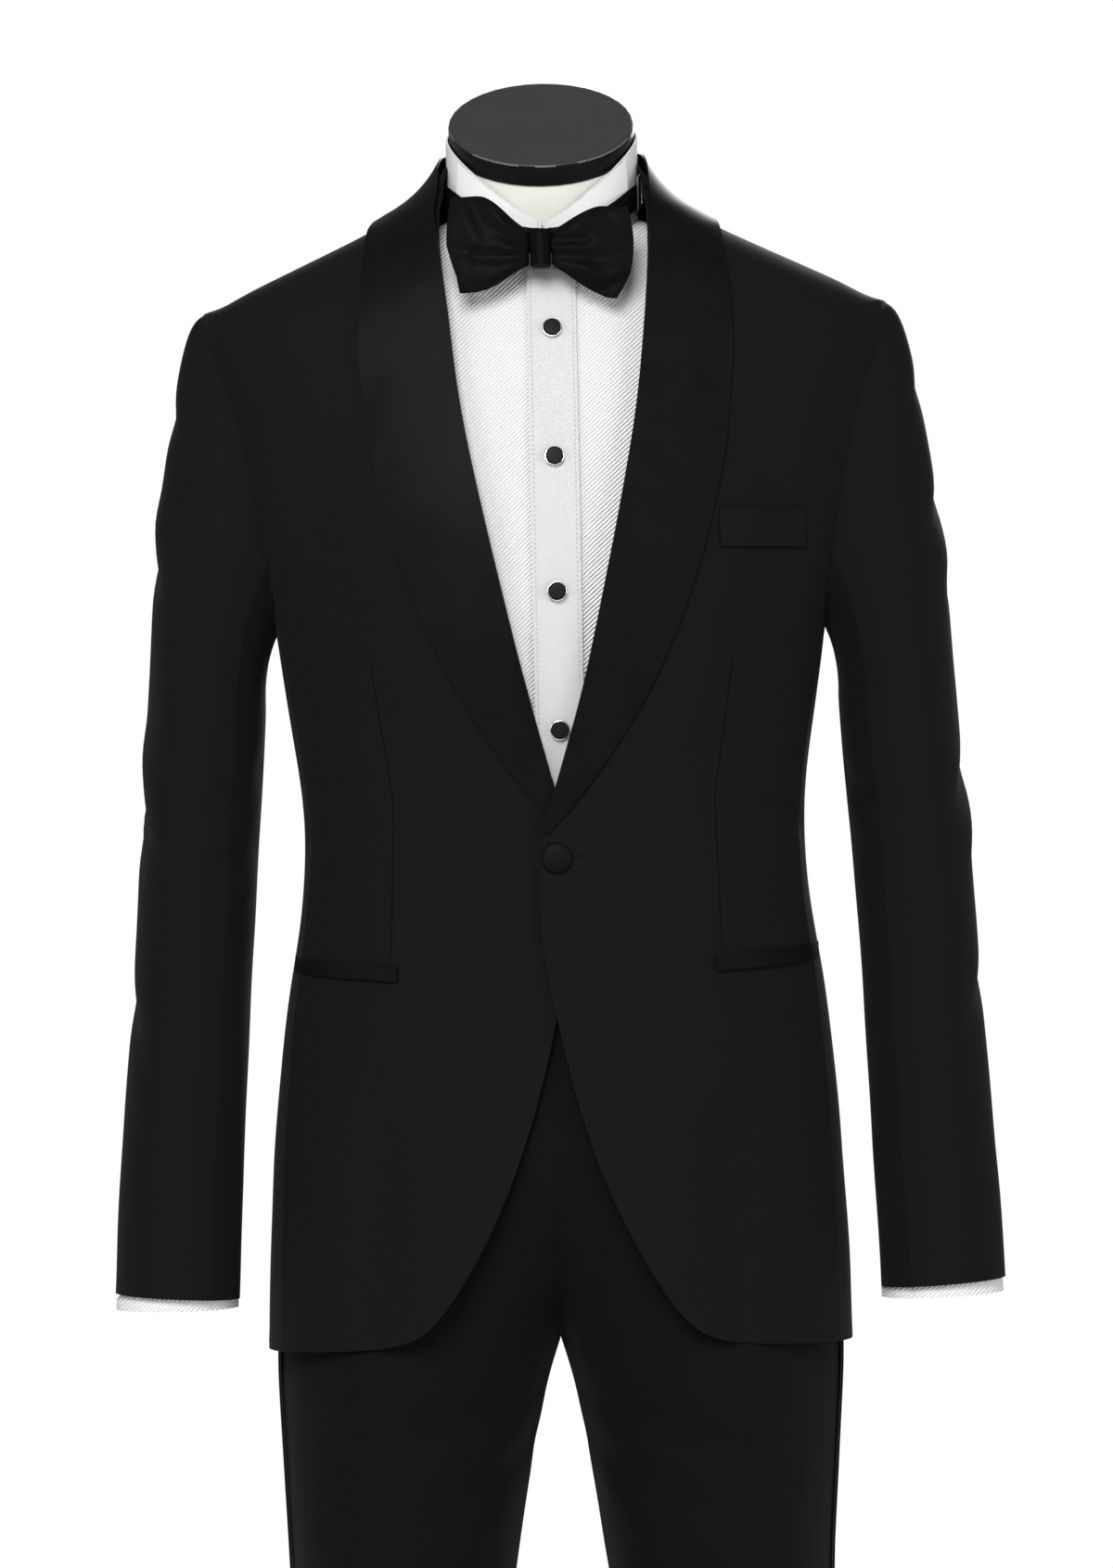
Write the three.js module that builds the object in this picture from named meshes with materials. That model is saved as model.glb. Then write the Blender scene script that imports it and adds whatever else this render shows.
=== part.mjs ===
import * as THREE from "three";

// A dinner suit with its shirt and bow tie, on a limbless dress form with a pole and a base plate.
// Millimetres. +Z is up, the front faces -Y and the wearer's left is +X. The origin is the floor
// under the centre of the base plate.

// Driving dimensions: gaps and cloth thicknesses
const SEAM_GAP = 0.3;
const LAYER_GAP = 0.6;
const JACKET_CLOTH = 2;
const COLLAR_CLOTH = 1.8;
const TROUSER_CLOTH = 1.4;
const SHIRT_CLOTH = 1;
const SATIN = 1.2;

// Driving dimensions: jacket
const JACKET_HEM = 829;
const FRONT_CORNER = 858; // the height at which the cutaway edge turns into the hem
const JACKET_NECK = 1572;
const BUTTON = { x: 1, z: 1143, radius: 10, height: 4 };
const UNDERLAP = 5.4; // the right front lies this far under the left one
const VENT = { top: 1010, flare: 8.5 };
const FRONT_SEAM = { hemAngle: 70, turn: 144 };
const BACK_SEAM = { hemAngle: 106, turn: 235 };
const ARMHOLE = { z: 1390, height: 104, frontAngle: 23, backAngle: 25 };
const WELT = { x0: 108, x1: 165, z: 1350.5, height: 24 };
const JETS = { x0: 100, x1: 168, z: 1075, rise: 6, height: 10 };

// Driving dimensions: sleeves
const SLEEVE = { ringZ: 1240, cuffZ: 865 };

// Driving dimensions: trousers
const TROUSERS = { hem: 30, crotch: 830, waist: 956, bandTop: 1044 };
const CREASE = { front: 18, back: 190, seatBack: 150, height: 4, spread: 14 };
const STRIPE_ANGLE = 6;

// Driving dimensions: shirt
const SHIRT = { hem: 930, sleeveInset: 5, cuffTop: 910, cuffHem: 857 };
const SHIRT_ARMHOLE = { z: 1392, height: 88, frontAngle: 18, backAngle: 20 };
const COLLAR_BAND = { width: 62.2, front: 58, back: 62.6, thickness: 1.2 };
const PLACKET = { x0: -11, x1: 20, z0: 1052, z1: 1518 };
const STUD_HEIGHTS = [1479, 1397, 1311.5, 1224];
const STUD = { radius: 5.3, height: 4 };
const WING_ANGLE = 58;

// Driving dimensions: bow tie
const BOW = { x: -2, y: -86, z: 1531, lean: 0.16, tilt: 0.04 };
const BOW_END = { x: 60, cornerCut: 4, lowerLeftCut: 12 };
const KNOT = { halfWidth: 6.8, halfDepth: 12, halfHeight: 11.6 };
const TIE_BAND = { width: 65, front: 73, back: 65.5, height: 16, frontZ: 1536, sideRise: 35, backRise: 48 };
const SLIDE = { angle: 73, spread: 4.5, height: 22, rise: 2.5 };

// Driving dimensions: dress form
const CAP = { width: 60, depth: 65, thickness: 15.5, tilt: 29, y: -3, z: 1617 };
const POLE = { x: 118, radius: 12.5 };
const BASE = { radius: 200, thickness: 6 };
const FORM_BOTTOM = 908;

// Colours
const WOOL = { color: 0x14141a, roughness: 0.9, metalness: 0 };
const SATIN_CLOTH = { color: 0x0c0c10, roughness: 0.45, metalness: 0 };
const SHIRTING = { color: 0xf4f4f2, roughness: 0.85, metalness: 0 };
const FORM_CLOTH = { color: 0xe6e2d4, roughness: 0.95, metalness: 0 };
const CAP_BLACK = { color: 0x26262a, roughness: 0.6, metalness: 0 };
const STUD_BLACK = { color: 0x08080a, roughness: 0.2, metalness: 0.2 };
const STEEL = { color: 0xb8babd, roughness: 0.35, metalness: 1 };

const { lerp, smoothstep, degToRad } = THREE.MathUtils;

// A smooth table: rows of numbers under named columns, read at any value of the first column.
function smooth(columns, rows) {
  const keys = rows.map((row) => row[0]);
  const values = rows.flatMap((row) => row.slice(1));
  const names = columns.slice(1);
  const spline = new THREE.CubicInterpolant(keys, values, names.length, []);
  return (key) => {
    const result = spline.evaluate(Math.min(Math.max(key, keys[0]), keys.at(-1)));
    return Object.fromEntries(names.map((name, i) => [name, result[i]]));
  };
}

// Rings of the jacket's outer face: half width, depth to the front and to the back, and how square
// a ring's corners are (1 is an ellipse, less is squarer)
const jacketRing = smooth(
  ["z", "width", "front", "back", "corner"],
  [
    [820, 189.5, 118, 128, 0.87],
    [880, 188.5, 117.5, 131, 0.87],
    [947, 185, 116, 131, 0.87],
    [1007, 180, 114.5, 127, 0.87],
    [1061, 173.3, 113.5, 119, 0.87],
    [1109, 164.4, 113, 110, 0.87],
    [1157, 161, 113, 102, 0.87],
    [1193, 163.5, 115.5, 103, 0.87],
    [1241, 171.6, 119, 108, 0.87],
    [1300, 180, 121, 116, 0.87],
    [1367, 200, 117, 118, 0.87],
    [1400, 207, 112, 117, 0.87],
    [1440, 213, 102, 113, 0.87],
    [1494, 219, 84, 104, 0.9],
    [1505, 204, 80, 102, 0.9],
    [1517, 179, 76, 100, 0.9],
    [1529, 153, 72, 98, 0.9],
    [1541, 127, 68, 94, 0.92],
    [1550, 108, 65.5, 91.5, 0.94],
    [1559, 92.5, 63, 88.5, 0.96],
    [1568, 82, 61, 85, 0.97],
    [1577, 74.8, 59.5, 80, 0.98],
    [1589, 67.8, 58, 72, 1],
    [1602, 64.6, 57, 65, 1],
  ],
);

// The left front's edge: the cutaway, the overlap at the button and the roll line of the collar
const frontEdge = smooth(
  ["z", "x"],
  [
    [829, 112],
    [836, 92],
    [858, 70],
    [886, 53],
    [921, 35.5],
    [954, 22.7],
    [989, 11.8],
    [1037, 0.6],
    [1063, -5.5],
    [1091, -10],
    [1133, -12],
    [1157, -9],
    [1193, 1.5],
    [1241, 15.5],
    [1308, 31],
    [1368, 44],
    [1428, 55.5],
    [1490, 62.5],
    [1542, 67],
    [1575, 66.5],
  ],
);
const hemHeight = smooth(
  ["x", "z"],
  [
    [70, 858],
    [80, 846.5],
    [92, 838],
    [111, 833.5],
    [140, 831],
    [190, 829],
  ],
);

// The shawl collar by steps from the button to the centre back: its roll line and its outer edge
const SHAWL_STEPS = 13;
const shawlFront = [
  { rollZ: 1161, edgeX: -4, edgeZ: 1158 },
  { rollZ: 1193, edgeX: 24, edgeZ: 1191 },
  { rollZ: 1241, edgeX: 60, edgeZ: 1247 },
  { rollZ: 1308, edgeX: 87, edgeZ: 1307 },
  { rollZ: 1368, edgeX: 105, edgeZ: 1367 },
  { rollZ: 1428, edgeX: 116, edgeZ: 1421 },
  { rollZ: 1490, edgeX: 119, edgeZ: 1484 },
  { rollZ: 1542, edgeX: 112, edgeZ: 1541 },
];
const shawlBack = [
  { rollAngle: 60, rollZ: 1574, edgeAngle: 77, edgeZ: 1549 },
  { rollAngle: 90, rollZ: 1594, edgeAngle: 93, edgeZ: 1551 },
  { rollAngle: 113, rollZ: 1598, edgeAngle: 113, edgeZ: 1553 },
  { rollAngle: 135, rollZ: 1600, edgeAngle: 135, edgeZ: 1555 },
  { rollAngle: 158, rollZ: 1602, edgeAngle: 158, edgeZ: 1557 },
  { rollAngle: 179.9, rollZ: 1602, edgeAngle: 179.9, edgeZ: 1558 },
];

// The sleeve from the upper arm to the cuff: its outer and inner side and its depth
const sleeveRing = smooth(
  ["z", "outer", "inner", "front", "back"],
  [
    [865, 287.5, 205.8, 72, 22],
    [917, 284.9, 203.4, 71, 28],
    [977, 280.3, 200.2, 69, 35],
    [1037, 275.8, 197.3, 66, 43],
    [1097, 272.2, 194.3, 63, 51],
    [1157, 269.5, 189.8, 60, 59],
    [1240, 262.5, 184, 56, 71],
  ],
);

// A trouser leg: outer side and centre of the section, its depth to the front and to the back
const trouserRing = smooth(
  ["z", "outer", "centre", "front", "back"],
  [
    [30, 174, 128, 62, 80],
    [250, 171, 121, 66, 84],
    [480, 170, 112, 72, 85],
    [600, 171, 107, 78, 88],
    [683, 173.4, 102.6, 84, 92],
    [737, 177, 99.5, 88, 97],
    [797, 180.6, 95, 91, 101],
    [830, 181, 90.8, 92, 103],
    [860, 180, 80, 93, 105],
    [900, 177.5, 58, 97, 107],
    [930, 174.5, 30, 101, 108],
    [956, 171, 0, 104, 108],
  ],
);
const waistRing = smooth(
  ["z", "width", "front", "back", "corner"],
  [
    [956, 171, 104, 108, 1],
    [1000, 168, 103.4, 105, 0.97],
    [1044, 164.6, 102.6, 102, 0.94],
  ],
);

// Rings of the shirt's outer face
const shirtRing = smooth(
  ["z", "width", "front", "back", "corner"],
  [
    [930, 164, 94, 100, 1],
    [956, 167, 100.6, 104.6, 1],
    [1000, 165.6, 101, 102.6, 0.97],
    [1044, 162.4, 100.4, 99.6, 0.94],
    [1100, 156, 101, 96, 0.9],
    [1166, 150, 103, 91, 0.87],
    [1241, 160, 110, 99, 0.87],
    [1300, 168, 114, 108, 0.87],
    [1350, 182, 111, 110, 0.87],
    [1400, 195, 104, 108, 0.87],
    [1440, 200, 95, 104, 0.87],
    [1480, 198, 81, 98, 0.9],
    [1500, 174, 73, 94, 0.93],
    [1517, 144, 66, 90, 0.97],
    [1530, 112, 59, 85, 1],
    [1541, 86, 52, 80, 1.05],
    [1549, 69, 44, 75, 1.05],
    [1556, 60.5, 38, 71, 1],
    [1576, 50, 30, 60.8, 1],
  ],
);
const collarTop = smooth(
  ["angle", "z"],
  [
    [0, 1548.5],
    [10, 1554],
    [20, 1562],
    [30, 1570],
    [40, 1578],
    [58, 1591],
    [75, 1601],
    [90, 1608],
    [135, 1618],
    [180, 1622],
  ],
);

// Rings of the dress form
const formRing = smooth(
  ["z", "width", "front", "back", "corner"],
  [
    [908, 132, 66, 74, 1],
    [918, 146, 78, 88, 1],
    [940, 154, 88, 96, 1],
    [1000, 155, 92, 94, 0.95],
    [1100, 147, 93, 87, 0.9],
    [1166, 142, 95, 83, 0.88],
    [1241, 151, 102, 91, 0.88],
    [1300, 159, 105, 99, 0.88],
    [1350, 170, 102, 101, 0.88],
    [1400, 176, 95, 99, 0.88],
    [1440, 178, 86, 95, 0.88],
    [1475, 168, 75, 90, 0.92],
    [1500, 143, 65, 85, 1],
    [1517, 108, 58, 77, 1.05],
    [1530, 82, 55, 70, 1.1],
    [1541, 65, 54, 64.5, 1.06],
    [1548, 60.8, 53.6, 61.5, 1],
    [1556, 60, 53.5, 60.4, 1],
    [1570, 59.8, 53.5, 60.2, 1],
  ],
);

// The point of a ring at an angle: 0 is the centre front, 90 the wearer's left, 180 the centre back.
function ringPoint(ring, angle, z) {
  const sine = Math.sin(degToRad(angle));
  const cosine = Math.cos(degToRad(angle));
  const across = Math.sign(sine) * Math.abs(sine) ** ring.corner;
  const along = Math.sign(cosine) * Math.abs(cosine) ** ring.corner;
  const depth = cosine > 0 ? ring.front : ring.back;
  return new THREE.Vector3(ring.width * across, -depth * along, z);
}

const jacket = (angle, z) => ringPoint(jacketRing(z), angle, z);
const shirt = (angle, z) => ringPoint(shirtRing(z), angle, z);
const waist = (angle, z) => ringPoint(waistRing(z), angle, z);
const form = (angle, z) => ringPoint(formRing(z), angle, z);

// The angle at which a ring's front half reaches a distance x from the centre.
function angleAt(profile, x, z) {
  const ring = profile(z);
  const share = Math.min(Math.abs(x) / ring.width, 1);
  return (Math.sign(x) * Math.asin(share ** (1 / ring.corner)) * 180) / Math.PI;
}

// The height at which stacked rings pass over a point of the plan.
function heightOver(profile, x, y, low, high) {
  for (let i = 0; i < 30; i += 1) {
    const middle = (low + high) / 2;
    const ring = profile(middle);
    const depth = y < 0 ? ring.front : ring.back;
    const reach = Math.abs(x / ring.width) ** (2 / ring.corner) + Math.abs(y / depth) ** (2 / ring.corner);
    if (reach < 1) low = middle;
    else high = middle;
  }
  return low;
}

// The outward normal of a surface given by two parameters, with small steps of each.
function normalOn(surface, u, v, stepU = 0.4, stepV = 0.4) {
  const across = surface(u + stepU, v).sub(surface(u - stepU, v));
  const along = surface(u, v + stepV).sub(surface(u, v - stepV));
  return across.cross(along).normalize();
}

// A grid of points with normals on a surface: place(i, j) gives u, v and the lift off the surface.
function gridOn(surface, columns, rows, place, stepU, stepV) {
  const grid = [];
  for (let j = 0; j <= rows; j += 1) {
    const row = [];
    for (let i = 0; i <= columns; i += 1) {
      const { u, v, lift = 0 } = place(i, j);
      const normal = normalOn(surface, u, v, stepU, stepV);
      row.push({ point: surface(u, v).addScaledVector(normal, lift), normal });
    }
    grid.push(row);
  }
  return grid;
}

// Half a seam gap is taken off each of the four edges of a grid.
function trimmed(grid, amount = SEAM_GAP * 0.65) {
  const rows = grid.length - 1;
  const columns = grid[0].length - 1;
  const shift = (edge, inside) => {
    const inwards = inside.point.clone().sub(edge.point);
    edge.point.addScaledVector(inwards.normalize(), amount);
  };
  for (let j = 0; j <= rows; j += 1) {
    shift(grid[j][0], grid[j][1]);
    shift(grid[j][columns], grid[j][columns - 1]);
  }
  for (let i = 0; i <= columns; i += 1) {
    shift(grid[0][i], grid[1][i]);
    shift(grid[rows][i], grid[rows - 1][i]);
  }
  return grid;
}

// The same grid for the wearer's right side.
function mirrored(grid) {
  return grid.map((row) =>
    row
      .map(({ point, normal }) => ({
        point: new THREE.Vector3(-point.x, point.y, point.z),
        normal: new THREE.Vector3(-normal.x, normal.y, normal.z),
      }))
      .reverse(),
  );
}

function geometryOf(points, faces) {
  const geometry = new THREE.BufferGeometry();
  geometry.setAttribute(
    "position",
    new THREE.Float32BufferAttribute(points.flatMap((point) => point.toArray()), 3),
  );
  geometry.setIndex(faces);
  geometry.computeVertexNormals();
  return geometry;
}

// A wall of cloth: the grid is its outer face and the inner face lies one thickness inside it.
function clothWall(grid, thickness) {
  const rows = grid.length;
  const columns = grid[0].length;
  const count = rows * columns;
  const outer = grid.flat().map(({ point }) => point.clone());
  const inner = grid.flat().map(({ point, normal }) => point.clone().addScaledVector(normal, -thickness));
  const faces = [];
  const quad = (a, b, c, d) => faces.push(a, b, c, a, c, d);
  for (let j = 0; j + 1 < rows; j += 1) {
    for (let i = 0; i + 1 < columns; i += 1) {
      const a = j * columns + i;
      const d = a + columns;
      quad(a, a + 1, d + 1, d);
      quad(a + count + 1, a + count, d + count, d + 1 + count);
    }
  }
  const rim = [];
  for (let i = 0; i < columns; i += 1) rim.push(i);
  for (let j = 1; j < rows; j += 1) rim.push(j * columns + columns - 1);
  for (let i = columns - 2; i >= 0; i -= 1) rim.push((rows - 1) * columns + i);
  for (let j = rows - 2; j > 0; j -= 1) rim.push(j * columns);
  rim.forEach((a, k) => {
    const b = rim[(k + 1) % rim.length];
    quad(a + count, b + count, b, a);
  });
  return geometryOf([...outer, ...inner], faces);
}

// A solid through closed rings of points, capped at both ends.
function loft(rings) {
  const count = rings[0].length;
  const points = rings.flat();
  const faces = [];
  for (let j = 0; j + 1 < rings.length; j += 1) {
    for (let i = 0; i < count; i += 1) {
      const a = j * count + i;
      const b = j * count + ((i + 1) % count);
      faces.push(a, b, b + count, a, b + count, a + count);
    }
  }
  const middle = (ring) =>
    ring.reduce((sum, point) => sum.add(point), new THREE.Vector3()).divideScalar(count);
  const last = (rings.length - 1) * count;
  const bottom = points.push(middle(rings[0])) - 1;
  const top = points.push(middle(rings.at(-1))) - 1;
  for (let i = 0; i < count; i += 1) {
    const next = (i + 1) % count;
    faces.push(bottom, next, i, top, last + i, last + next);
  }
  return geometryOf(points, faces);
}

const suit = new THREE.Group();

function addPiece(name, geometry, finish) {
  const mesh = new THREE.Mesh(geometry, new THREE.MeshStandardMaterial(finish));
  mesh.name = name;
  suit.add(mesh);
  return mesh;
}

// A left piece and its mirror image.
function addPair(name, grid, thickness, finish) {
  addPiece(`${name}_left`, clothWall(grid, thickness), finish);
  addPiece(`${name}_right`, clothWall(mirrored(grid), thickness), finish);
}

// Seams of the jacket, as rows of angle and height that neighbouring panels share
const BODY_ROWS = 10;
const ARMHOLE_ROWS = 7;
const SHOULDER_ROWS = 6;
const SIDE_COLUMNS = 4;

function armholePoint(armhole, turn) {
  const sine = Math.sin(degToRad(turn));
  const reach = sine > 0 ? armhole.frontAngle : armhole.backAngle;
  return { angle: 90 - reach * sine, z: armhole.z + armhole.height * Math.cos(degToRad(turn)) };
}

function between(from, to, steps, make) {
  return Array.from({ length: steps + 1 }, (_, i) => make(lerp(from, to, i / steps), i));
}

function sideSeam(seam) {
  const top = armholePoint(ARMHOLE, seam.turn);
  return between(0, 1, BODY_ROWS, (share) => ({
    angle: lerp(seam.hemAngle, top.angle, smoothstep(share, 0, 1)),
    z: lerp(JACKET_HEM, top.z, share),
  }));
}

const shoulderSeam = between(ARMHOLE.z + ARMHOLE.height, JACKET_NECK, SHOULDER_ROWS, (z) => ({
  angle: 90,
  z,
}));
const frontOuterEdge = [
  ...sideSeam(FRONT_SEAM),
  ...between(FRONT_SEAM.turn, 0, ARMHOLE_ROWS, (turn) => armholePoint(ARMHOLE, turn)).slice(1),
  ...shoulderSeam.slice(1),
];
const backOuterEdge = [
  ...sideSeam(BACK_SEAM),
  ...between(BACK_SEAM.turn, 360, ARMHOLE_ROWS, (turn) => armholePoint(ARMHOLE, turn)).slice(1),
  ...shoulderSeam.slice(1),
];

// How far a point near the front edge of the right side is pushed in, to lie under the left side.
function underlap(side, x, z) {
  if (side === "left") return 0;
  return -UNDERLAP * (1 - smoothstep(x, 14, 62)) * (1 - smoothstep(z, 1200, 1290));
}

function jacketFront(side) {
  const columns = 9;
  const rows = frontOuterEdge.length - 1;
  return gridOn(jacket, columns, rows, (i, j) => {
    const share = i / columns;
    const outer = frontOuterEdge[j];
    const height = (outer.z - JACKET_HEM) / (JACKET_NECK - JACKET_HEM);
    const innerZ = lerp(FRONT_CORNER, JACKET_NECK, height);
    const innerAngle = angleAt(jacketRing, frontEdge(innerZ).x, innerZ);
    const angle = lerp(innerAngle, outer.angle, share);
    let z = lerp(innerZ, outer.z, share);
    const hem = hemHeight(jacket(angle, z).x).z;
    const straight = lerp(FRONT_CORNER, JACKET_HEM, share);
    const isCorner = i === 0 || i === columns;
    if (!isCorner) z += (hem - straight) * (1 - smoothstep(j, 0, 4));
    return { u: angle, v: z, lift: underlap(side, jacket(angle, z).x, z) };
  });
}

function jacketSide() {
  const front = sideSeam(FRONT_SEAM);
  const back = sideSeam(BACK_SEAM);
  return gridOn(jacket, SIDE_COLUMNS, BODY_ROWS, (i, j) => {
    const share = i / SIDE_COLUMNS;
    const top = armholePoint(ARMHOLE, lerp(FRONT_SEAM.turn, BACK_SEAM.turn, share));
    const rise = (j / BODY_ROWS) ** 3;
    const angleDip = top.angle - lerp(front[BODY_ROWS].angle, back[BODY_ROWS].angle, share);
    const heightDip = top.z - lerp(front[BODY_ROWS].z, back[BODY_ROWS].z, share);
    return {
      u: lerp(front[j].angle, back[j].angle, share) + angleDip * rise,
      v: lerp(front[j].z, back[j].z, share) + heightDip * rise,
    };
  });
}

// The back flares past the side body along the vent.
function jacketBack() {
  const columns = 6;
  const rows = backOuterEdge.length - 1;
  return gridOn(jacket, columns, rows, (i, j) => {
    const angle = lerp(backOuterEdge[j].angle, 180, i / columns);
    const z = backOuterEdge[j].z;
    const open = 1 - smoothstep(z, JACKET_HEM, VENT.top);
    return { u: angle, v: z, lift: VENT.flare * open * (1 - smoothstep(angle, 100, 150)) };
  });
}

function buildJacketBody() {
  addPiece("jacket_front_left", clothWall(trimmed(jacketFront("left")), JACKET_CLOTH), WOOL);
  addPiece("jacket_front_right", clothWall(mirrored(trimmed(jacketFront("right"))), JACKET_CLOTH), WOOL);
  addPair("jacket_side", trimmed(jacketSide()), JACKET_CLOTH, WOOL);
  addPair("jacket_back", trimmed(jacketBack()), JACKET_CLOTH, WOOL);
}

// A sleeve hangs from an armhole: a cap from the armhole down to the first ring, then rings. Its
// first parameter is the turn round the arm from the outer side by the front, its second the row,
// 0 at the armhole, 1 at the first ring and 2 at the cuff.
function sleeveSurface(body, armhole, inset, lead) {
  const ringAt = (turn, z) => {
    const ring = sleeveRing(z);
    const sine = Math.sin(degToRad(turn));
    const cosine = Math.cos(degToRad(turn));
    const width = (ring.outer - ring.inner) / 2 - inset;
    const depth = (ring.front + ring.back) / 2 - inset;
    const x = (ring.outer + ring.inner) / 2 + width * cosine;
    return new THREE.Vector3(x, (ring.back - ring.front) / 2 - depth * sine, z);
  };
  return (turn, row) => {
    if (row > 1) return ringAt(turn, lerp(SLEEVE.ringZ, SLEEVE.cuffZ, row - 1));
    const sine = Math.sin(degToRad(turn));
    const cosine = Math.cos(degToRad(turn));
    const crown = (1 + cosine) / 2;
    const start = armholePoint(armhole, turn);
    const from = body(start.angle, start.z);
    const to = ringAt(turn, SLEEVE.ringZ);
    const leave = new THREE.Vector3(
      lerp(lead.underX, lead.crownX, crown),
      -8 * sine,
      lerp(lead.underZ, lead.crownZ, crown),
    );
    from.addScaledVector(leave.clone().normalize(), SEAM_GAP * 1.5);
    const arrive = new THREE.Vector3(9 * cosine + 3, 0, -0.9 * from.distanceTo(to));
    const s2 = row * row;
    const s3 = s2 * row;
    return from
      .multiplyScalar(2 * s3 - 3 * s2 + 1)
      .addScaledVector(leave, s3 - 2 * s2 + row)
      .addScaledVector(to, 3 * s2 - 2 * s3)
      .addScaledVector(arrive, s3 - s2);
  };
}

const jacketSleeve = sleeveSurface(jacket, ARMHOLE, 0, {
  underX: 20,
  underZ: -42,
  crownX: 84,
  crownZ: 44,
});
const shirtSleeve = sleeveSurface(shirt, SHIRT_ARMHOLE, SHIRT.sleeveInset, {
  underX: 34,
  underZ: 14,
  crownX: 62,
  crownZ: 6,
});

// The turns of the armhole loop at which the body panels and the sleeve have points
const armholeTurns = [
  ...between(0, FRONT_SEAM.turn, ARMHOLE_ROWS, (turn) => turn),
  ...between(FRONT_SEAM.turn, BACK_SEAM.turn, SIDE_COLUMNS, (turn) => turn).slice(1),
  ...between(BACK_SEAM.turn, 360, ARMHOLE_ROWS, (turn) => turn).slice(1),
];

function buildJacketSleeves() {
  const capRows = 6;
  const rows = [
    ...between(0, 1, capRows, (row) => row),
    ...between(1, 2, 7, (row) => row).slice(1),
  ];
  const frontIndex = ARMHOLE_ROWS - 1;
  const backIndex = ARMHOLE_ROWS + SIDE_COLUMNS + 1;
  const topTurns = [
    ...armholeTurns.slice(backIndex, -1).map((turn) => turn - 360),
    ...armholeTurns.slice(0, frontIndex + 1),
  ];
  const underTurns = armholeTurns.slice(frontIndex, backIndex + 1);
  const panel = (turns) =>
    trimmed(
      gridOn(
        jacketSleeve,
        turns.length - 1,
        rows.length - 1,
        (i, j) => ({ u: turns[i], v: Math.max(rows[j], 0.002) }),
        0.5,
        0.001,
      ),
    );
  addPair("sleeve_top", panel(topTurns), JACKET_CLOTH, WOOL);
  addPair("sleeve_under", panel(underTurns), JACKET_CLOTH, WOOL);
}

// The shawl collar lies on the front from the roll line to its outer edge and on round the neck.
// In front a place is given by x and height, and behind the shoulder by angle and height.
const shawlFrontPath = smooth(
  ["step", "rollX", "rollZ", "edgeX", "edgeZ"],
  shawlFront.map(({ rollZ, edgeX, edgeZ }, step) => [step, frontEdge(rollZ).x, rollZ, edgeX, edgeZ]),
);
const shoulderStep = shawlFront.length - 1;
const lastFront = shawlFront[shoulderStep];
const shawlBackPath = smooth(
  ["step", "rollAngle", "rollZ", "edgeAngle", "edgeZ"],
  [
    [
      shoulderStep,
      angleAt(jacketRing, frontEdge(lastFront.rollZ).x, lastFront.rollZ),
      lastFront.rollZ,
      angleAt(jacketRing, lastFront.edgeX, lastFront.edgeZ),
      lastFront.edgeZ,
    ],
    ...shawlBack.map((row, k) => [
      shoulderStep + 1 + k,
      row.rollAngle,
      row.rollZ,
      row.edgeAngle,
      row.edgeZ,
    ]),
  ],
);

// A place on the collar: step runs from the button to the centre back, across from roll to edge.
function shawlPlace(step, across) {
  if (step <= shoulderStep) {
    const path = shawlFrontPath(step);
    const v = lerp(path.rollZ, path.edgeZ, across);
    return { u: angleAt(jacketRing, lerp(path.rollX, path.edgeX, across), v), v };
  }
  const path = shawlBackPath(step);
  return {
    u: lerp(path.rollAngle, path.edgeAngle, across),
    v: lerp(path.rollZ, path.edgeZ, across),
  };
}

function shawlCollar(side) {
  const columns = 26;
  const rows = 4;
  const rollLift = 1.6;
  const shoulderLift = 3;
  return gridOn(jacket, columns, rows, (i, j) => {
    const across = 1 - j / rows;
    const { u, v } = shawlPlace((i / columns) * SHAWL_STEPS, across);
    const roll = rollLift * (1 - across) ** 2 * smoothstep(v, 1190, 1290);
    const shoulder = shoulderLift * smoothstep(v, 1440, 1525);
    const lift = LAYER_GAP + COLLAR_CLOTH + roll + shoulder + underlap(side, jacket(u, v).x, v);
    return { u, v, lift };
  });
}

function buildCollar() {
  const left = trimmed(shawlCollar("left"));
  const right = trimmed(shawlCollar("right"));
  addPiece("shawl_collar_left", clothWall(left, COLLAR_CLOTH), SATIN_CLOTH);
  addPiece("shawl_collar_right", clothWall(mirrored(right), COLLAR_CLOTH), SATIN_CLOTH);
  const columns = 18;
  const rows = 3;
  const foot = JACKET_NECK + LAYER_GAP;
  const footAngle = angleAt(jacketRing, frontEdge(foot).x, foot) + 1;
  const stand = gridOn(jacket, columns, rows, (i, j) => {
    const start = lerp(footAngle, 82, j / rows);
    const angle = lerp(start, 360 - start, i / columns);
    const top = lerp(1590.5, 1599, smoothstep(Math.min(angle, 360 - angle), 90, 145));
    return { u: angle, v: lerp(foot, top, j / rows) };
  });
  addPiece("collar_stand", clothWall(trimmed(stand), JACKET_CLOTH), WOOL);
}

// A strip on a ringed body between two places, given by x and z.
function strip(surface, profile, { x0, z0, x1, z1, height }, columns, rows, lift) {
  return gridOn(surface, columns, rows, (i, j) => {
    const share = i / columns;
    const z = lerp(z0, z1, share) + height * (j / rows - 0.5);
    const a0 = angleAt(profile, x0, z);
    const a1 = angleAt(profile, x1, z);
    return { u: lerp(a0, a1, share), v: z, lift };
  });
}

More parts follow.
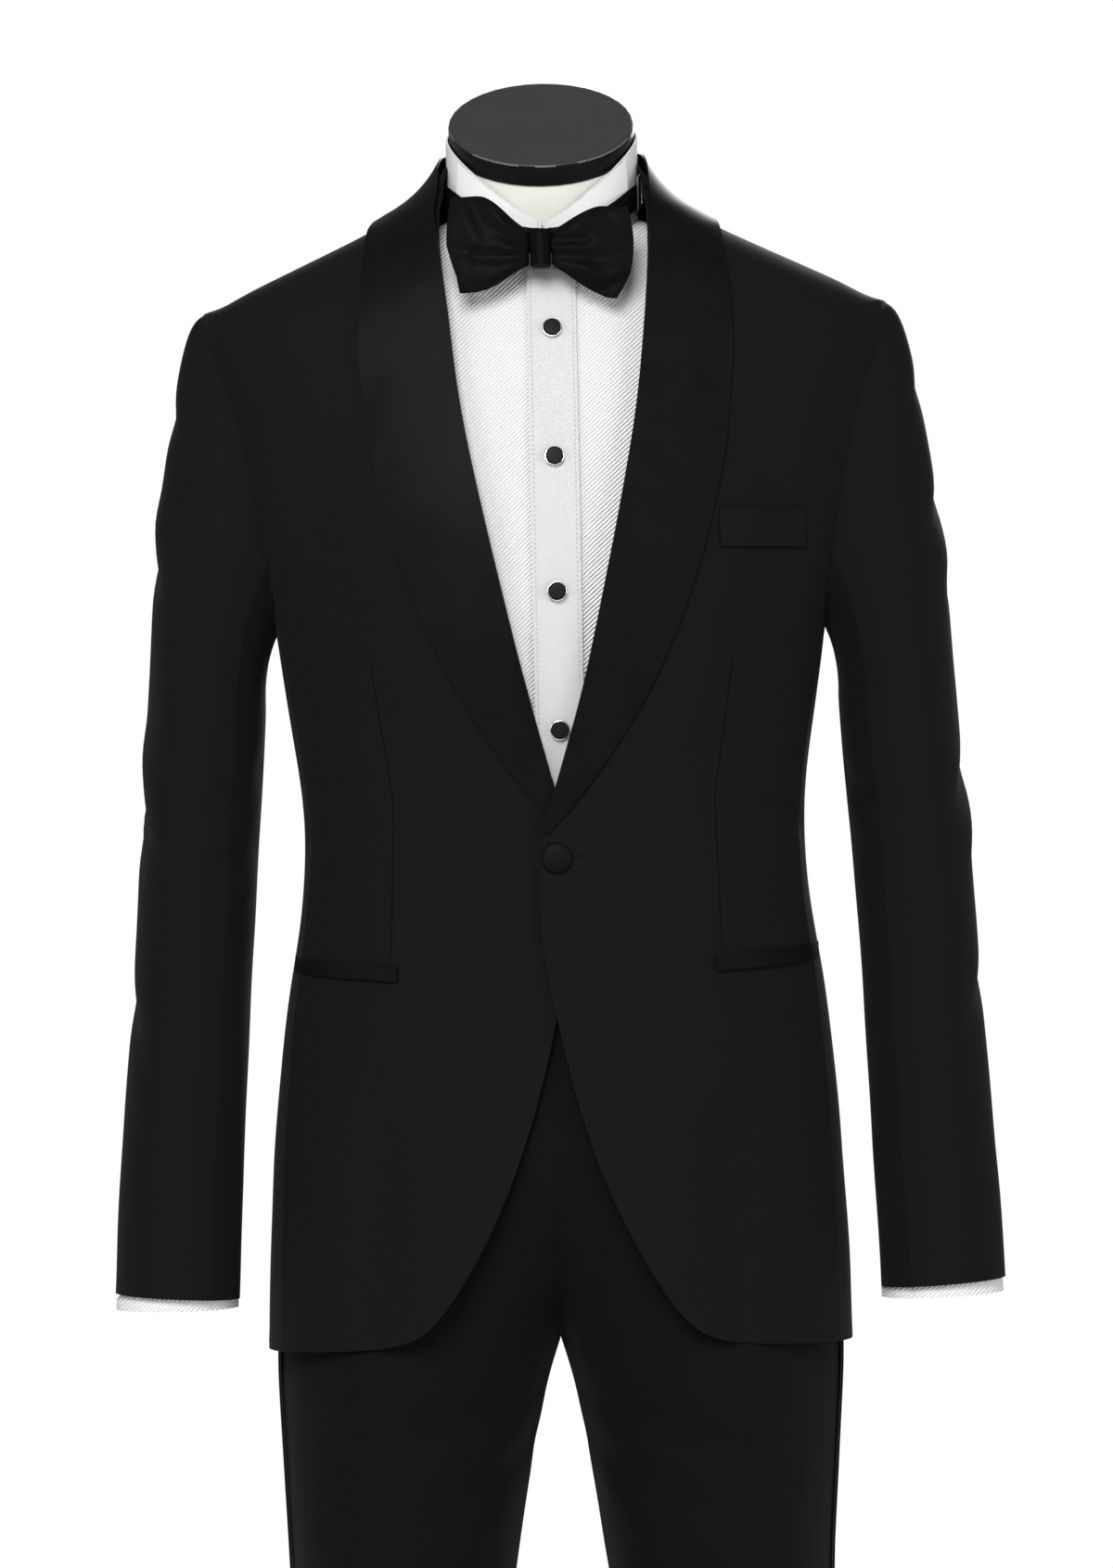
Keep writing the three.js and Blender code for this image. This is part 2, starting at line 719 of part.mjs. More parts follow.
function buildJacketTrim() {
  const { x0, x1 } = WELT;
  const welt = { x0, x1, z0: WELT.z, z1: WELT.z, height: WELT.height };
  const weltLift = LAYER_GAP + SATIN;
  addPiece("breast_welt", clothWall(strip(jacket, jacketRing, welt, 5, 2, weltLift), SATIN), WOOL);
  const jets = { ...JETS, z0: JETS.z, z1: JETS.z + JETS.rise };
  const lift = weltLift + LAYER_GAP;
  addPair("pocket_jet", strip(jacket, jacketRing, jets, 8, 2, lift), SATIN, SATIN_CLOTH);
}

// A round piece that is turned to face out of a surface: a covered button or a stud.
function roundPiece(name, profile, surface, angle, z, lift, finish) {
  const outline = profile.map(([radius, height]) => new THREE.Vector2(radius, height));
  const piece = addPiece(name, new THREE.LatheGeometry(outline, 18), finish);
  const normal = normalOn(surface, angle, z);
  piece.quaternion.setFromUnitVectors(new THREE.Vector3(0, 1, 0), normal);
  piece.position.copy(surface(angle, z)).addScaledVector(normal, lift);
}

function buildButton() {
  const { radius, height } = BUTTON;
  const profile = [
    [0, 0],
    [radius * 0.8, 0],
    [radius, height * 0.35],
    [radius * 0.93, height * 0.7],
    [radius * 0.6, height * 0.95],
    [0, height],
  ];
  const angle = angleAt(jacketRing, BUTTON.x, BUTTON.z);
  roundPiece("jacket_button", profile, jacket, angle, BUTTON.z, LAYER_GAP, SATIN_CLOTH);
}

// The back crease leans out above the crotch, where it fades away.
function creaseAngle(isFront, z) {
  return isFront ? CREASE.front : lerp(CREASE.back, CREASE.seatBack, smoothstep(z, 835, 935));
}

// A trouser half: above the crotch a section that runs from the centre seam round the side, below
// it a leg. Angle 90 is the outseam, and the creases stand out of the front and the back.
function trouserPoint(angle, z) {
  const ring = trouserRing(z);
  const sine = Math.sin(degToRad(angle));
  const cosine = Math.cos(degToRad(angle));
  const depth = cosine > 0 ? ring.front : ring.back;
  const width = ring.outer - ring.centre;
  const point = new THREE.Vector3(ring.centre + width * sine, -depth * cosine, z);
  const nearest = creaseAngle(cosine > 0, z);
  const peak = Math.max(0, 1 - Math.abs(angle - nearest) / CREASE.spread);
  const strength = 1 - smoothstep(z, 880, 945);
  return point.addScaledVector(new THREE.Vector3(sine, -cosine, 0), CREASE.height * peak * strength);
}

// Half the angle over which a section is cut off at the centre plane.
function centreAngle(z) {
  if (z <= TROUSERS.crotch) return 90;
  const ring = trouserRing(z);
  const share = Math.min(ring.centre / (ring.outer - ring.centre), 1);
  return (Math.asin(share) * 180) / Math.PI;
}

const TROUSER_ROWS = [
  ...between(TROUSERS.hem, 740, 5, (z) => z),
  785,
  812,
  ...between(TROUSERS.crotch, TROUSERS.waist, 5, (z) => z),
];

function trouserPanel(isFront) {
  const creaseColumn = 4;
  const columns = 7;
  return gridOn(trouserPoint, columns, TROUSER_ROWS.length - 1, (i, j) => {
    const z = TROUSER_ROWS[j];
    const start = isFront ? -centreAngle(z) : 90;
    const end = isFront ? 90 : 180 + centreAngle(z);
    const crease = creaseAngle(isFront, z);
    const column = isFront ? creaseColumn : columns - creaseColumn;
    const angle =
      i <= column ? lerp(start, crease, i / column) : lerp(crease, end, (i - column) / (columns - column));
    return { u: angle, v: z };
  });
}

function buildTrousers() {
  addPair("trouser_front", trimmed(trouserPanel(true)), TROUSER_CLOTH, WOOL);
  addPair("trouser_back", trimmed(trouserPanel(false)), TROUSER_CLOTH, WOOL);
  const band = gridOn(waist, 18, 3, (i, j) => ({
    u: lerp(0, 180, i / 18),
    v: lerp(TROUSERS.waist, TROUSERS.bandTop, j / 3),
  }));
  addPair("waistband", trimmed(band), TROUSER_CLOTH, WOOL);
  const stripe = gridOn(trouserPoint, 2, TROUSER_ROWS.length - 1, (i, j) => ({
    u: 90 + STRIPE_ANGLE * (i - 1),
    v: TROUSER_ROWS[j],
    lift: LAYER_GAP + SATIN,
  }));
  addPair("side_stripe", trimmed(stripe), SATIN, SATIN_CLOTH);
}

// The shirt's neck seam runs where the collar band meets the body of the shirt.
function neckSeam(angle) {
  const x = COLLAR_BAND.width * Math.sin(degToRad(angle));
  const cosine = Math.cos(degToRad(angle));
  const y = -(cosine > 0 ? COLLAR_BAND.front : COLLAR_BAND.back) * cosine;
  return heightOver(shirtRing, x, y, 1500, 1580);
}

const shirtSideTop = SHIRT_ARMHOLE.z - SHIRT_ARMHOLE.height;
const shirtSideRows = between(SHIRT.hem, shirtSideTop, 7, (z) => ({ angle: 90, z }));
const SHIRT_ARM_ROWS = 5;
const SHIRT_NECK_ROWS = 3;

function shirtOuterEdge(isFront) {
  const turnEnd = isFront ? 0 : 360;
  const tip = SHIRT_ARMHOLE.z + SHIRT_ARMHOLE.height;
  return [
    ...shirtSideRows,
    ...between(180, turnEnd, SHIRT_ARM_ROWS, (turn) => armholePoint(SHIRT_ARMHOLE, turn)).slice(1),
    ...between(tip, neckSeam(90), SHIRT_NECK_ROWS, (z) => ({ angle: 90, z })).slice(1),
  ];
}

// The angle on the body rings that stands over an angle of the collar band.
function shirtNeckPoint(angle) {
  const z = neckSeam(angle);
  const x = COLLAR_BAND.width * Math.sin(degToRad(angle));
  const frontAngle = angleAt(shirtRing, x, z);
  return { angle: angle > 90 ? 180 - frontAngle : frontAngle, z };
}

function shirtFront() {
  const columns = 6;
  const edge = shirtOuterEdge(true);
  const rows = edge.length - 1;
  const centreTop = neckSeam(0);
  return gridOn(shirt, columns, rows, (i, j) => {
    const share = i / columns;
    const height = (edge[j].z - SHIRT.hem) / (edge[rows].z - SHIRT.hem);
    const neck = shirtNeckPoint(90 * share);
    const pull = height ** 12;
    const angle = lerp(0, edge[j].angle, share) + pull * (neck.angle - 90 * share);
    const z = lerp(lerp(SHIRT.hem, centreTop, height), edge[j].z, share);
    return { u: angle, v: z + pull * (neck.z - lerp(centreTop, edge[rows].z, share)) };
  });
}

function shirtBack() {
  const half = 5;
  const edge = shirtOuterEdge(false);
  const rows = edge.length - 1;
  const centreTop = neckSeam(180);
  return gridOn(shirt, 2 * half, rows, (i, j) => {
    const share = i <= half ? i / half : 2 - i / half;
    const height = (edge[j].z - SHIRT.hem) / (edge[rows].z - SHIRT.hem);
    const neck = shirtNeckPoint(lerp(90, 180, share));
    const pull = height ** 12;
    const angle = lerp(edge[j].angle, 180, share) + pull * (neck.angle - lerp(90, 180, share));
    const z = lerp(edge[j].z, lerp(SHIRT.hem, centreTop, height), share);
    return {
      u: i <= half ? angle : 360 - angle,
      v: z + pull * (neck.z - lerp(edge[rows].z, centreTop, share)),
    };
  });
}

// The collar band's outer face: its first parameter is the angle, its second runs from seam to top.
function collarBand(angle, share) {
  const turn = ((angle % 360) + 360) % 360;
  const folded = turn > 180 ? 360 - turn : turn;
  const cosine = Math.cos(degToRad(angle));
  const depth = cosine > 0 ? COLLAR_BAND.front : COLLAR_BAND.back;
  const base = neckSeam(folded) + SEAM_GAP;
  const z = lerp(base, collarTop(folded).z, share);
  return new THREE.Vector3(COLLAR_BAND.width * Math.sin(degToRad(angle)), -depth * cosine, z);
}

function buildShirt() {
  addPair("shirt_front", trimmed(shirtFront()), SHIRT_CLOTH, SHIRTING);
  addPiece("shirt_back", clothWall(trimmed(shirtBack()), SHIRT_CLOTH), SHIRTING);
  const middleX = (PLACKET.x0 + PLACKET.x1) / 2;
  const placketLift = LAYER_GAP + SHIRT_CLOTH;
  const placket = gridOn(shirt, 4, 12, (i, j) => {
    const z = lerp(PLACKET.z0, PLACKET.z1, j / 12);
    const x = lerp(PLACKET.x0, PLACKET.x1, i / 4);
    return { u: angleAt(shirtRing, x, z), v: z, lift: placketLift };
  });
  addPiece("shirt_placket", clothWall(placket, SHIRT_CLOTH), SHIRTING);
  STUD_HEIGHTS.forEach((z, k) => {
    const { radius, height } = STUD;
    const profile = [
      [0, 0],
      [radius * 0.8, 0],
      [radius, height * 0.45],
      [radius * 0.8, height * 0.85],
      [0, height],
    ];
    const angle = angleAt(shirtRing, middleX, z);
    roundPiece(`stud_${k + 1}`, profile, shirt, angle, z, placketLift + SEAM_GAP, STUD_BLACK);
  });
  const band = gridOn(
    collarBand,
    36,
    2,
    (i, j) => ({ u: lerp(1.2, 358.8, i / 36), v: j / 2 }),
    0.4,
    0.01,
  );
  addPiece("collar_band", clothWall(band, COLLAR_BAND.thickness), SHIRTING);
  const wing = gridOn(
    collarBand,
    8,
    3,
    (i, j) => {
      const angle = lerp(3, WING_ANGLE, i / 8);
      const drop = lerp(0.1, 1, i / 8) * 40 * (1 - j / 3);
      const tall = collarTop(angle).z - neckSeam(angle);
      return { u: angle, v: 1 - (drop + 0.5) / tall, lift: LAYER_GAP + SHIRT_CLOTH + drop * 0.06 };
    },
    0.4,
    0.01,
  );
  addPair("collar_wing", wing, SHIRT_CLOTH, SHIRTING);
  buildShirtSleeves();
}

function buildShirtSleeves() {
  const around = 12;
  const turns = between(-180, 180, around, (turn) => turn);
  const tube = (rows) =>
    trimmed(
      gridOn(shirtSleeve, around, rows.length - 1, (i, j) => ({ u: turns[i], v: rows[j] }), 0.5, 0.001),
    );
  const cuffRow = 1 + (SLEEVE.ringZ - SHIRT.cuffTop) / (SLEEVE.ringZ - SLEEVE.cuffZ);
  const sleeveRows = [
    ...between(0.002, 1, 4, (row) => row),
    ...between(1, cuffRow, 3, (row) => row).slice(1),
  ];
  addPair("shirt_sleeve", tube(sleeveRows), SHIRT_CLOTH, SHIRTING);
  const cuff = gridOn(
    (turn, z) => {
      const row = 1 + (SLEEVE.ringZ - Math.max(z, SLEEVE.cuffZ)) / (SLEEVE.ringZ - SLEEVE.cuffZ);
      return shirtSleeve(turn, row).setZ(z);
    },
    around,
    2,
    (i, j) => ({ u: turns[i], v: lerp(SHIRT.cuffTop, SHIRT.cuffHem, j / 2), lift: 1.2 }),
    0.5,
    -0.4,
  );
  addPair("shirt_cuff", trimmed(cuff), SHIRT_CLOTH * 1.5, SHIRTING);
}

// A bow wing is a flattened loop of satin: it widens from the knot to its end. The corners of the
// end lie nearer to the knot than its middle, and most so the left wing's lower one.
const bowWing = smooth(
  ["x", "top", "bottom", "front", "back"],
  [
    [7.1, 11, 12, 5, 2],
    [14, 15, 15, 7.5, 3],
    [24, 22, 21.5, 8.5, 3.5],
    [36, 28, 26, 7, 3.5],
    [48, 30, 28.5, 5, 3],
    [58, 31, 30.5, 3, 2],
    [60, 31, 30.5, 1.2, 1],
  ],
);

function bowPoint(x, height, depth) {
  return new THREE.Vector3(
    BOW.x + x,
    BOW.y + height * BOW.lean + depth,
    BOW.z + height - x * BOW.tilt,
  );
}

function bowRings(side) {
  const toSide = side === "left" ? 1 : -1;
  const lowerCut = side === "left" ? BOW_END.lowerLeftCut : BOW_END.cornerCut;
  return [7.1, 14, 22, 32, 42, 51, 58, BOW_END.x].map((x) => {
    const { top, bottom, front, back } = bowWing(x);
    const endness = smoothstep(x, 30, BOW_END.x);
    const ring = between(0, 340, 17, (turn) => {
      const sine = Math.sin(degToRad(turn));
      const cosine = Math.cos(degToRad(turn));
      const up = cosine > 0 ? top : bottom;
      const cut = cosine > 0 ? BOW_END.cornerCut : lowerCut;
      const share = Math.abs(cosine) ** 0.75;
      const across = toSide * (x - cut * endness * share ** 2);
      return bowPoint(across, up * Math.sign(cosine) * share, sine > 0 ? back * sine : front * sine);
    });
    return side === "left" ? ring.reverse() : ring;
  });
}

function buildBowTie() {
  addPiece("bow_wing_left", loft(bowRings("left")), SATIN_CLOTH);
  addPiece("bow_wing_right", loft(bowRings("right")), SATIN_CLOTH);
  const knotOutline = new THREE.Shape().absellipse(0, 0, KNOT.halfWidth, KNOT.halfDepth, 0, 2 * Math.PI);
  const bevel = 3;
  const knotGeometry = new THREE.ExtrudeGeometry(knotOutline, {
    depth: 2 * (KNOT.halfHeight - bevel),
    bevelSize: 0,
    bevelThickness: bevel,
    bevelOffset: 0,
    bevelSegments: 2,
    curveSegments: 12,
  });
  const knot = addPiece("bow_knot", knotGeometry, SATIN_CLOTH);
  const knotY = -TIE_BAND.front - SEAM_GAP - KNOT.halfDepth;
  knot.position.set(BOW.x, knotY, BOW.z - KNOT.halfHeight + bevel);
  const bandAt = (angle, height) => {
    const cosine = Math.cos(degToRad(angle));
    const depth = cosine > 0 ? TIE_BAND.front : TIE_BAND.back;
    const sine = Math.sin(degToRad(angle));
    const rise = cosine > 0
      ? TIE_BAND.sideRise * sine * sine
      : lerp(TIE_BAND.sideRise, TIE_BAND.backRise, cosine * cosine);
    const middle = TIE_BAND.frontZ + rise;
    return new THREE.Vector3(TIE_BAND.width * sine, -depth * cosine, middle + height);
  };
  const band = gridOn(bandAt, 40, 1, (i, j) => ({
    u: lerp(0.4, 359.6, i / 40),
    v: TIE_BAND.height * (j - 0.5),
  }));
  addPiece("bow_band", clothWall(band, SATIN), SATIN_CLOTH);
  const slide = gridOn(bandAt, 2, 1, (i, j) => ({
    u: SLIDE.angle + SLIDE.spread * (i - 1),
    v: SLIDE.height * (j - 0.5) + SLIDE.rise,
    lift: SEAM_GAP + 1.2,
  }));
  addPiece("band_slide", clothWall(slide, 1.2), CAP_BLACK);
}

// The form is whole under the clothes, and its neck is cut off along the tilted plane of the cap.
function buildForm() {
  const count = 24;
  const ringAngles = between(0, 360 - 360 / count, count - 1, (angle) => angle);
  const heights = [908, 914, 925, 960, 1050, 1130, 1200, 1290, 1360, 1410, 1450];
  heights.push(1475, 1497, 1515, 1530, 1541, 1550, 1560);
  const rings = heights.map((z) => ringAngles.map((angle) => form(angle, z)));
  const slope = Math.tan(degToRad(CAP.tilt));
  const capAxis = new THREE.Vector3(0, -Math.sin(degToRad(CAP.tilt)), Math.cos(degToRad(CAP.tilt)));
  const under = new THREE.Vector3(0, CAP.y, CAP.z).addScaledVector(capAxis, -CAP.thickness - SEAM_GAP);
  rings.push(
    ringAngles.map((angle) => {
      const point = form(angle, 1570);
      return point.setZ(under.z + (point.y - under.y) * slope);
    }),
  );
  addPiece("form_torso", loft(rings), FORM_CLOTH);
  const bevel = 1.2;
  const outline = new THREE.Shape().absellipse(0, 0, CAP.width - bevel, CAP.depth - bevel, 0, 2 * Math.PI);
  const geometry = new THREE.ExtrudeGeometry(outline, {
    depth: CAP.thickness - 2 * bevel,
    bevelSize: bevel,
    bevelThickness: bevel,
    bevelSegments: 1,
    curveSegments: 18,
  });
  const cap = addPiece("neck_cap", geometry, CAP_BLACK);
  cap.rotation.x = degToRad(CAP.tilt);
  cap.position.set(0, CAP.y, CAP.z).addScaledVector(capAxis, bevel - CAP.thickness);
  const poleHeight = FORM_BOTTOM - BASE.thickness - 2 * SEAM_GAP;
  const pole = addPiece(
    "stand_pole",
    new THREE.CylinderGeometry(POLE.radius, POLE.radius, poleHeight, 24),
    STEEL,
  );
  pole.rotation.x = Math.PI / 2;
  pole.position.set(POLE.x, 0, BASE.thickness + SEAM_GAP + poleHeight / 2);
  const edge = 1.5;
  const plate = [
    [0, 0],
    [BASE.radius, 0],
    [BASE.radius, BASE.thickness - edge],
    [BASE.radius - edge, BASE.thickness],
    [0, BASE.thickness],
  ].map(([radius, height]) => new THREE.Vector2(radius, height));
  const base = addPiece("stand_base", new THREE.LatheGeometry(plate, 56), STEEL);
  base.rotation.x = Math.PI / 2;
}

buildJacketBody();
buildJacketSleeves();
buildCollar();
buildJacketTrim();
buildButton();
buildTrousers();
buildShirt();
buildBowTie();
buildForm();

export default suit;
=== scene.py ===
import math

import bpy
import numpy as np
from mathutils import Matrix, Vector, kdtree


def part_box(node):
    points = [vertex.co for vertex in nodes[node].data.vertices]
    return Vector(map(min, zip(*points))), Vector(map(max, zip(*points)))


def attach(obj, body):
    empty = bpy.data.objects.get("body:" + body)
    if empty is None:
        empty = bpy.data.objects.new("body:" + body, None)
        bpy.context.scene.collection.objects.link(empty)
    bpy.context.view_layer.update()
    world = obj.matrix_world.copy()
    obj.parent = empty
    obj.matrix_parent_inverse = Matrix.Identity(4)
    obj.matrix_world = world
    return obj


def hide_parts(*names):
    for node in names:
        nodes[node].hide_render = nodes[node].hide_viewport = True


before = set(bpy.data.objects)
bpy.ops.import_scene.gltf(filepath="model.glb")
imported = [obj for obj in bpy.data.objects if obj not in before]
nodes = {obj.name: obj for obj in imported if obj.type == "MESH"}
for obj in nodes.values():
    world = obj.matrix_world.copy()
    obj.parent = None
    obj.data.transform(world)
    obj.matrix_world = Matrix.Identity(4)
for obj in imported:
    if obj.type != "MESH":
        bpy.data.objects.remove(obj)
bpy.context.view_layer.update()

# The camera stands five metres in front of the suit, just above the jacket's button. It has a long
# lens and is turned a little on its axis, and the picture ends below the jacket.
camera_data = bpy.data.cameras.new("studio_camera")
camera_data.lens = 177.4
camera_data.sensor_width = 36
camera = bpy.data.objects.new("studio_camera", camera_data)
camera.location = (0.0018, -5.0, 1.1897)
camera.rotation_euler = (math.radians(90), math.radians(1.1), 0)
bpy.context.scene.collection.objects.link(camera)
bpy.context.scene.camera = camera

# The studio: a pale floor, a white surround and four large soft lamps. The surround is seen at full
# white and gives a weaker light, so that the lamps model the cloth. The strongest lamp hangs high in
# front, a little to the wearer's right, and one behind lights the back.
bpy.context.scene.view_settings.view_transform = "Standard"
world = bpy.data.worlds.new("white_surround")
world.use_nodes = True
surround_light = 0.3
surround = world.node_tree.nodes["Background"]
surround.inputs["Color"].default_value = (1, 1, 1, 1)
seen = world.node_tree.nodes.new("ShaderNodeLightPath").outputs["Is Camera Ray"]
strength = world.node_tree.nodes.new("ShaderNodeMapRange")
strength.inputs["To Min"].default_value = surround_light
strength.inputs["To Max"].default_value = 1.0
world.node_tree.links.new(seen, strength.inputs["Value"])
world.node_tree.links.new(strength.outputs["Result"], surround.inputs["Strength"])
bpy.context.scene.world = world

lamps = [
    # name, place, size in metres, power in watts
    ("left_softbox", (2.6, -2.0, 1.6), 1.6, 46),
    ("right_softbox", (-2.6, -2.2, 2.0), 1.6, 38),
    ("front_softbox", (-0.5, -3.1, 3.0), 1.5, 180),
    ("rear_softbox", (0.6, 3.3, 2.6), 1.8, 150),
]
suit_middle = 1.25
for name, place, size, power in lamps:
    lamp = bpy.data.lights.new(name, "AREA")
    lamp.size = size
    lamp.energy = power
    stand = bpy.data.objects.new(name, lamp)
    stand.location = place
    aim = stand.location.copy()
    aim.z -= suit_middle
    stand.rotation_euler = aim.to_track_quat("Z", "Y").to_euler()
    bpy.context.scene.collection.objects.link(stand)


def new_piece(name, add, **settings):
    """Adds a primitive with nothing else selected, and puts its place and turn into its mesh."""
    bpy.ops.object.select_all(action="DESELECT")
    add(**settings)
    made = bpy.context.active_object
    made.name = name
    bpy.ops.object.transform_apply(location=True, rotation=True, scale=True)
    return made


def new_material(name, settings):
    """A material with these values on its shader, its node tree and the shader."""
    material = bpy.data.materials.new(name)
    material.use_nodes = True
    surface = material.node_tree.nodes["Principled BSDF"]
    for socket, value in settings.items():
        surface.inputs[socket].default_value = value
    return material, material.node_tree, surface


def add_node(tree, kind, settings=None, inputs=None):
    """A node with its settings, and with its inputs set to a value or joined to another socket."""
    made = tree.nodes.new(kind)
    for setting, value in (settings or {}).items():
        setattr(made, setting, value)
    for socket, value in (inputs or {}).items():
        if isinstance(value, bpy.types.NodeSocket):
            tree.links.new(value, made.inputs[socket])
        else:
            made.inputs[socket].default_value = value
    return made


def place_on(tree, scale=(1, 1, 1), turn=(0, 0, 0)):
    """The place on the piece, in metres, scaled and turned for a pattern."""
    place = tree.nodes.new("ShaderNodeTexCoord").outputs["Object"]
    turned = add_node(tree, "ShaderNodeMapping", inputs={"Vector": place, "Scale": scale, "Rotation": turn})
    return turned.outputs["Vector"]


def mixed(tree, share, low, high):
    """A colour between two, by a share. Each is three numbers or another node's colour."""
    ends = [end if isinstance(end, bpy.types.NodeSocket) else (*end, 1) for end in (low, high)]
    blend = add_node(tree, "ShaderNodeMix", {"data_type": "RGBA"}, {0: share, 6: ends[0], 7: ends[1]})
    return blend.outputs[2]


def noise_on(tree, scale, detail=2, stretch=(1, 1, 1)):
    """Soft uneven noise that is fixed on the piece, from nought to one."""
    place = place_on(tree, stretch)
    noise = add_node(tree, "ShaderNodeTexNoise", inputs={"Vector": place, "Scale": scale, "Detail": detail})
    return noise.outputs["Fac"]


def ribs_on(tree, direction, scale, distortion=0, stretch=(1, 1, 1), turn=(0, 0, 0)):
    """Ribs that are fixed on the piece and follow each other in a direction, from nought to one."""
    ribs = add_node(
        tree,
        "ShaderNodeTexWave",
        {"bands_direction": direction},
        {"Vector": place_on(tree, stretch, turn), "Scale": scale, "Distortion": distortion},
    )
    return ribs.outputs["Fac"]


def between(tree, share, low, high):
    """A number between two, by a share."""
    ranged = add_node(tree, "ShaderNodeMapRange", inputs={"Value": share, "To Min": low, "To Max": high})
    return ranged.outputs["Result"]


def reckoned(tree, operation, *values):
    """The result of one operation on numbers or on other nodes' values."""
    node = add_node(tree, "ShaderNodeMath", {"operation": operation}, dict(enumerate(values)))
    return node.outputs["Value"]


def raised(tree, surface, height, strength, distance):
    """Joins a height to the shader as a fine relief."""
    relief = add_node(
        tree, "ShaderNodeBump", inputs={"Height": height, "Strength": strength, "Distance": distance}
    )
    tree.links.new(relief.outputs["Normal"], surface.inputs["Normal"])


pale = (0.82, 0.82, 0.8, 1)
floor_paint, tree, surface = new_material("pale_floor", {"Base Color": pale, "Roughness": 0.9})
raised(tree, surface, noise_on(tree, 60), 0.1, 0.001)
floor = new_piece("studio_floor", bpy.ops.mesh.primitive_plane_add, size=6)
floor.data.materials.append(floor_paint)


# The stand is a round steel plate on the floor and a steel tube that is screwed to it. The plate has
# a soft, slightly clouded polish, and the tube is brushed along its length.
def brushed_steel(name, stretch):
    """Brushed steel. Its marks are longest in the direction where the stretch is smallest."""
    material, tree, surface = new_material(
        name, {"Metallic": 1.0, "Roughness": 0.34, "Base Color": (0.58, 0.59, 0.6, 1)}
    )
    lines = noise_on(tree, 1.0, 4, stretch)
    steel = mixed(tree, lines, (0.5, 0.51, 0.52), (0.66, 0.67, 0.68))
    tree.links.new(steel, surface.inputs["Base Color"])
    raised(tree, surface, lines, 0.15, 0.0002)
    return material


def put_on(obj, material, slot, *stands_for):
    """Gives a finished piece its material and its body, and hides the nodes that it stands for. The slot is
    not used.
    """
    obj.data.materials.clear()
    obj.data.materials.append(material)
    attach(obj, "root")
    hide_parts(*stands_for)


def select_edges(test):
    """In edit mode, selects the edges whose two ends both pass the test."""
    bpy.ops.mesh.select_all(action="DESELECT")
    bpy.ops.object.mode_set(mode="OBJECT")
    mesh = bpy.context.active_object.data
    for edge in mesh.edges:
        edge.select = all(test(mesh.vertices[corner].co) for corner in edge.vertices)
    bpy.ops.object.mode_set(mode="EDIT")


def round_edges(width, steps, sharp=50, test=None):
    """Rounds edges of the active piece: those that pass the test, or else those that are sharp."""
    bpy.ops.object.mode_set(mode="EDIT")
    bpy.ops.mesh.select_mode(type="EDGE")
    bpy.ops.mesh.select_all(action="DESELECT")
    if test:
        select_edges(test)
    else:
        bpy.ops.mesh.edges_select_sharp(sharpness=math.radians(sharp))
    bpy.ops.mesh.bevel(offset=width, segments=steps, affect="EDGES")
    bpy.ops.object.mode_set(mode="OBJECT")
    bpy.ops.object.shade_smooth_by_angle(angle=math.radians(35))


plate_radius, plate_height = 0.2, 0.006
plate = new_piece(
    "floor_plate",
    bpy.ops.mesh.primitive_cylinder_add,
    vertices=128,
    radius=plate_radius,
    depth=plate_height,
    location=(0, 0, plate_height / 2),
)
round_edges(0.0018, 4, test=lambda place: place.z > plate_height * 0.9)
put_on(plate, brushed_steel("plate_steel", (40, 40, 900)), "steel", "stand_base")

tube_low, tube_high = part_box("stand_pole")
tube = new_piece(
    "stand_tube",
    bpy.ops.mesh.primitive_cylinder_add,
    vertices=64,
    radius=(tube_high.x - tube_low.x) / 2,
    depth=tube_high.z - tube_low.z,
    location=(tube_low + tube_high) / 2,
)
end_reach = 0.001
round_edges(
    0.0012,
    3,
    test=lambda place: place.z > tube_high.z - end_reach or place.z < tube_low.z + end_reach,
)
put_on(tube, brushed_steel("tube_steel", (900, 900, 12)), "steel", "stand_pole")


# The form is a moulded torso with a neck, covered all over in a cream jersey. Its neck is cut off
# on a slant and closed by an oval lid of black lacquered wood with a rounded edge. The lid's side is
# painted far darker than its top, as painted shade, and the rim of its top is painted lighter in
# patches, as a painted highlight.
def cut_from(node, piece, levels, sharp=48):
    """A copy of a node's solid as a new piece: merged, in quads, sharp at its edges, subdivided."""
    obj = bpy.data.objects.new(piece, nodes[node].data.copy())
    bpy.context.scene.collection.objects.link(obj)
    bpy.ops.object.select_all(action="DESELECT")
    obj.select_set(True)
    bpy.context.view_layer.objects.active = obj
    bpy.ops.mesh.customdata_custom_splitnormals_clear()
    bpy.ops.object.mode_set(mode="EDIT")
    bpy.ops.mesh.select_all(action="SELECT")
    bpy.ops.mesh.remove_doubles(threshold=0.00002)
    bpy.ops.mesh.tris_convert_to_quads(face_threshold=math.radians(30), shape_threshold=math.radians(60))
    bpy.ops.mesh.select_all(action="DESELECT")
    bpy.ops.mesh.select_mode(type="EDGE")
    bpy.ops.mesh.edges_select_sharp(sharpness=math.radians(sharp))
    bpy.ops.object.mode_set(mode="OBJECT")
    crease = obj.data.attributes.new("crease_edge", "FLOAT", "EDGE")
    crease.data.foreach_set("value", [1.0 if edge.select else 0.0 for edge in obj.data.edges])
    if levels:
        rounder = obj.modifiers.new("rounder", "SUBSURF")
        rounder.levels = levels
        rounder.render_levels = levels
        rounder.boundary_smooth = "PRESERVE_CORNERS"
        bpy.ops.object.modifier_apply(modifier=rounder.name)
    bpy.ops.object.shade_smooth_by_angle(angle=math.radians(sharp))
    return obj


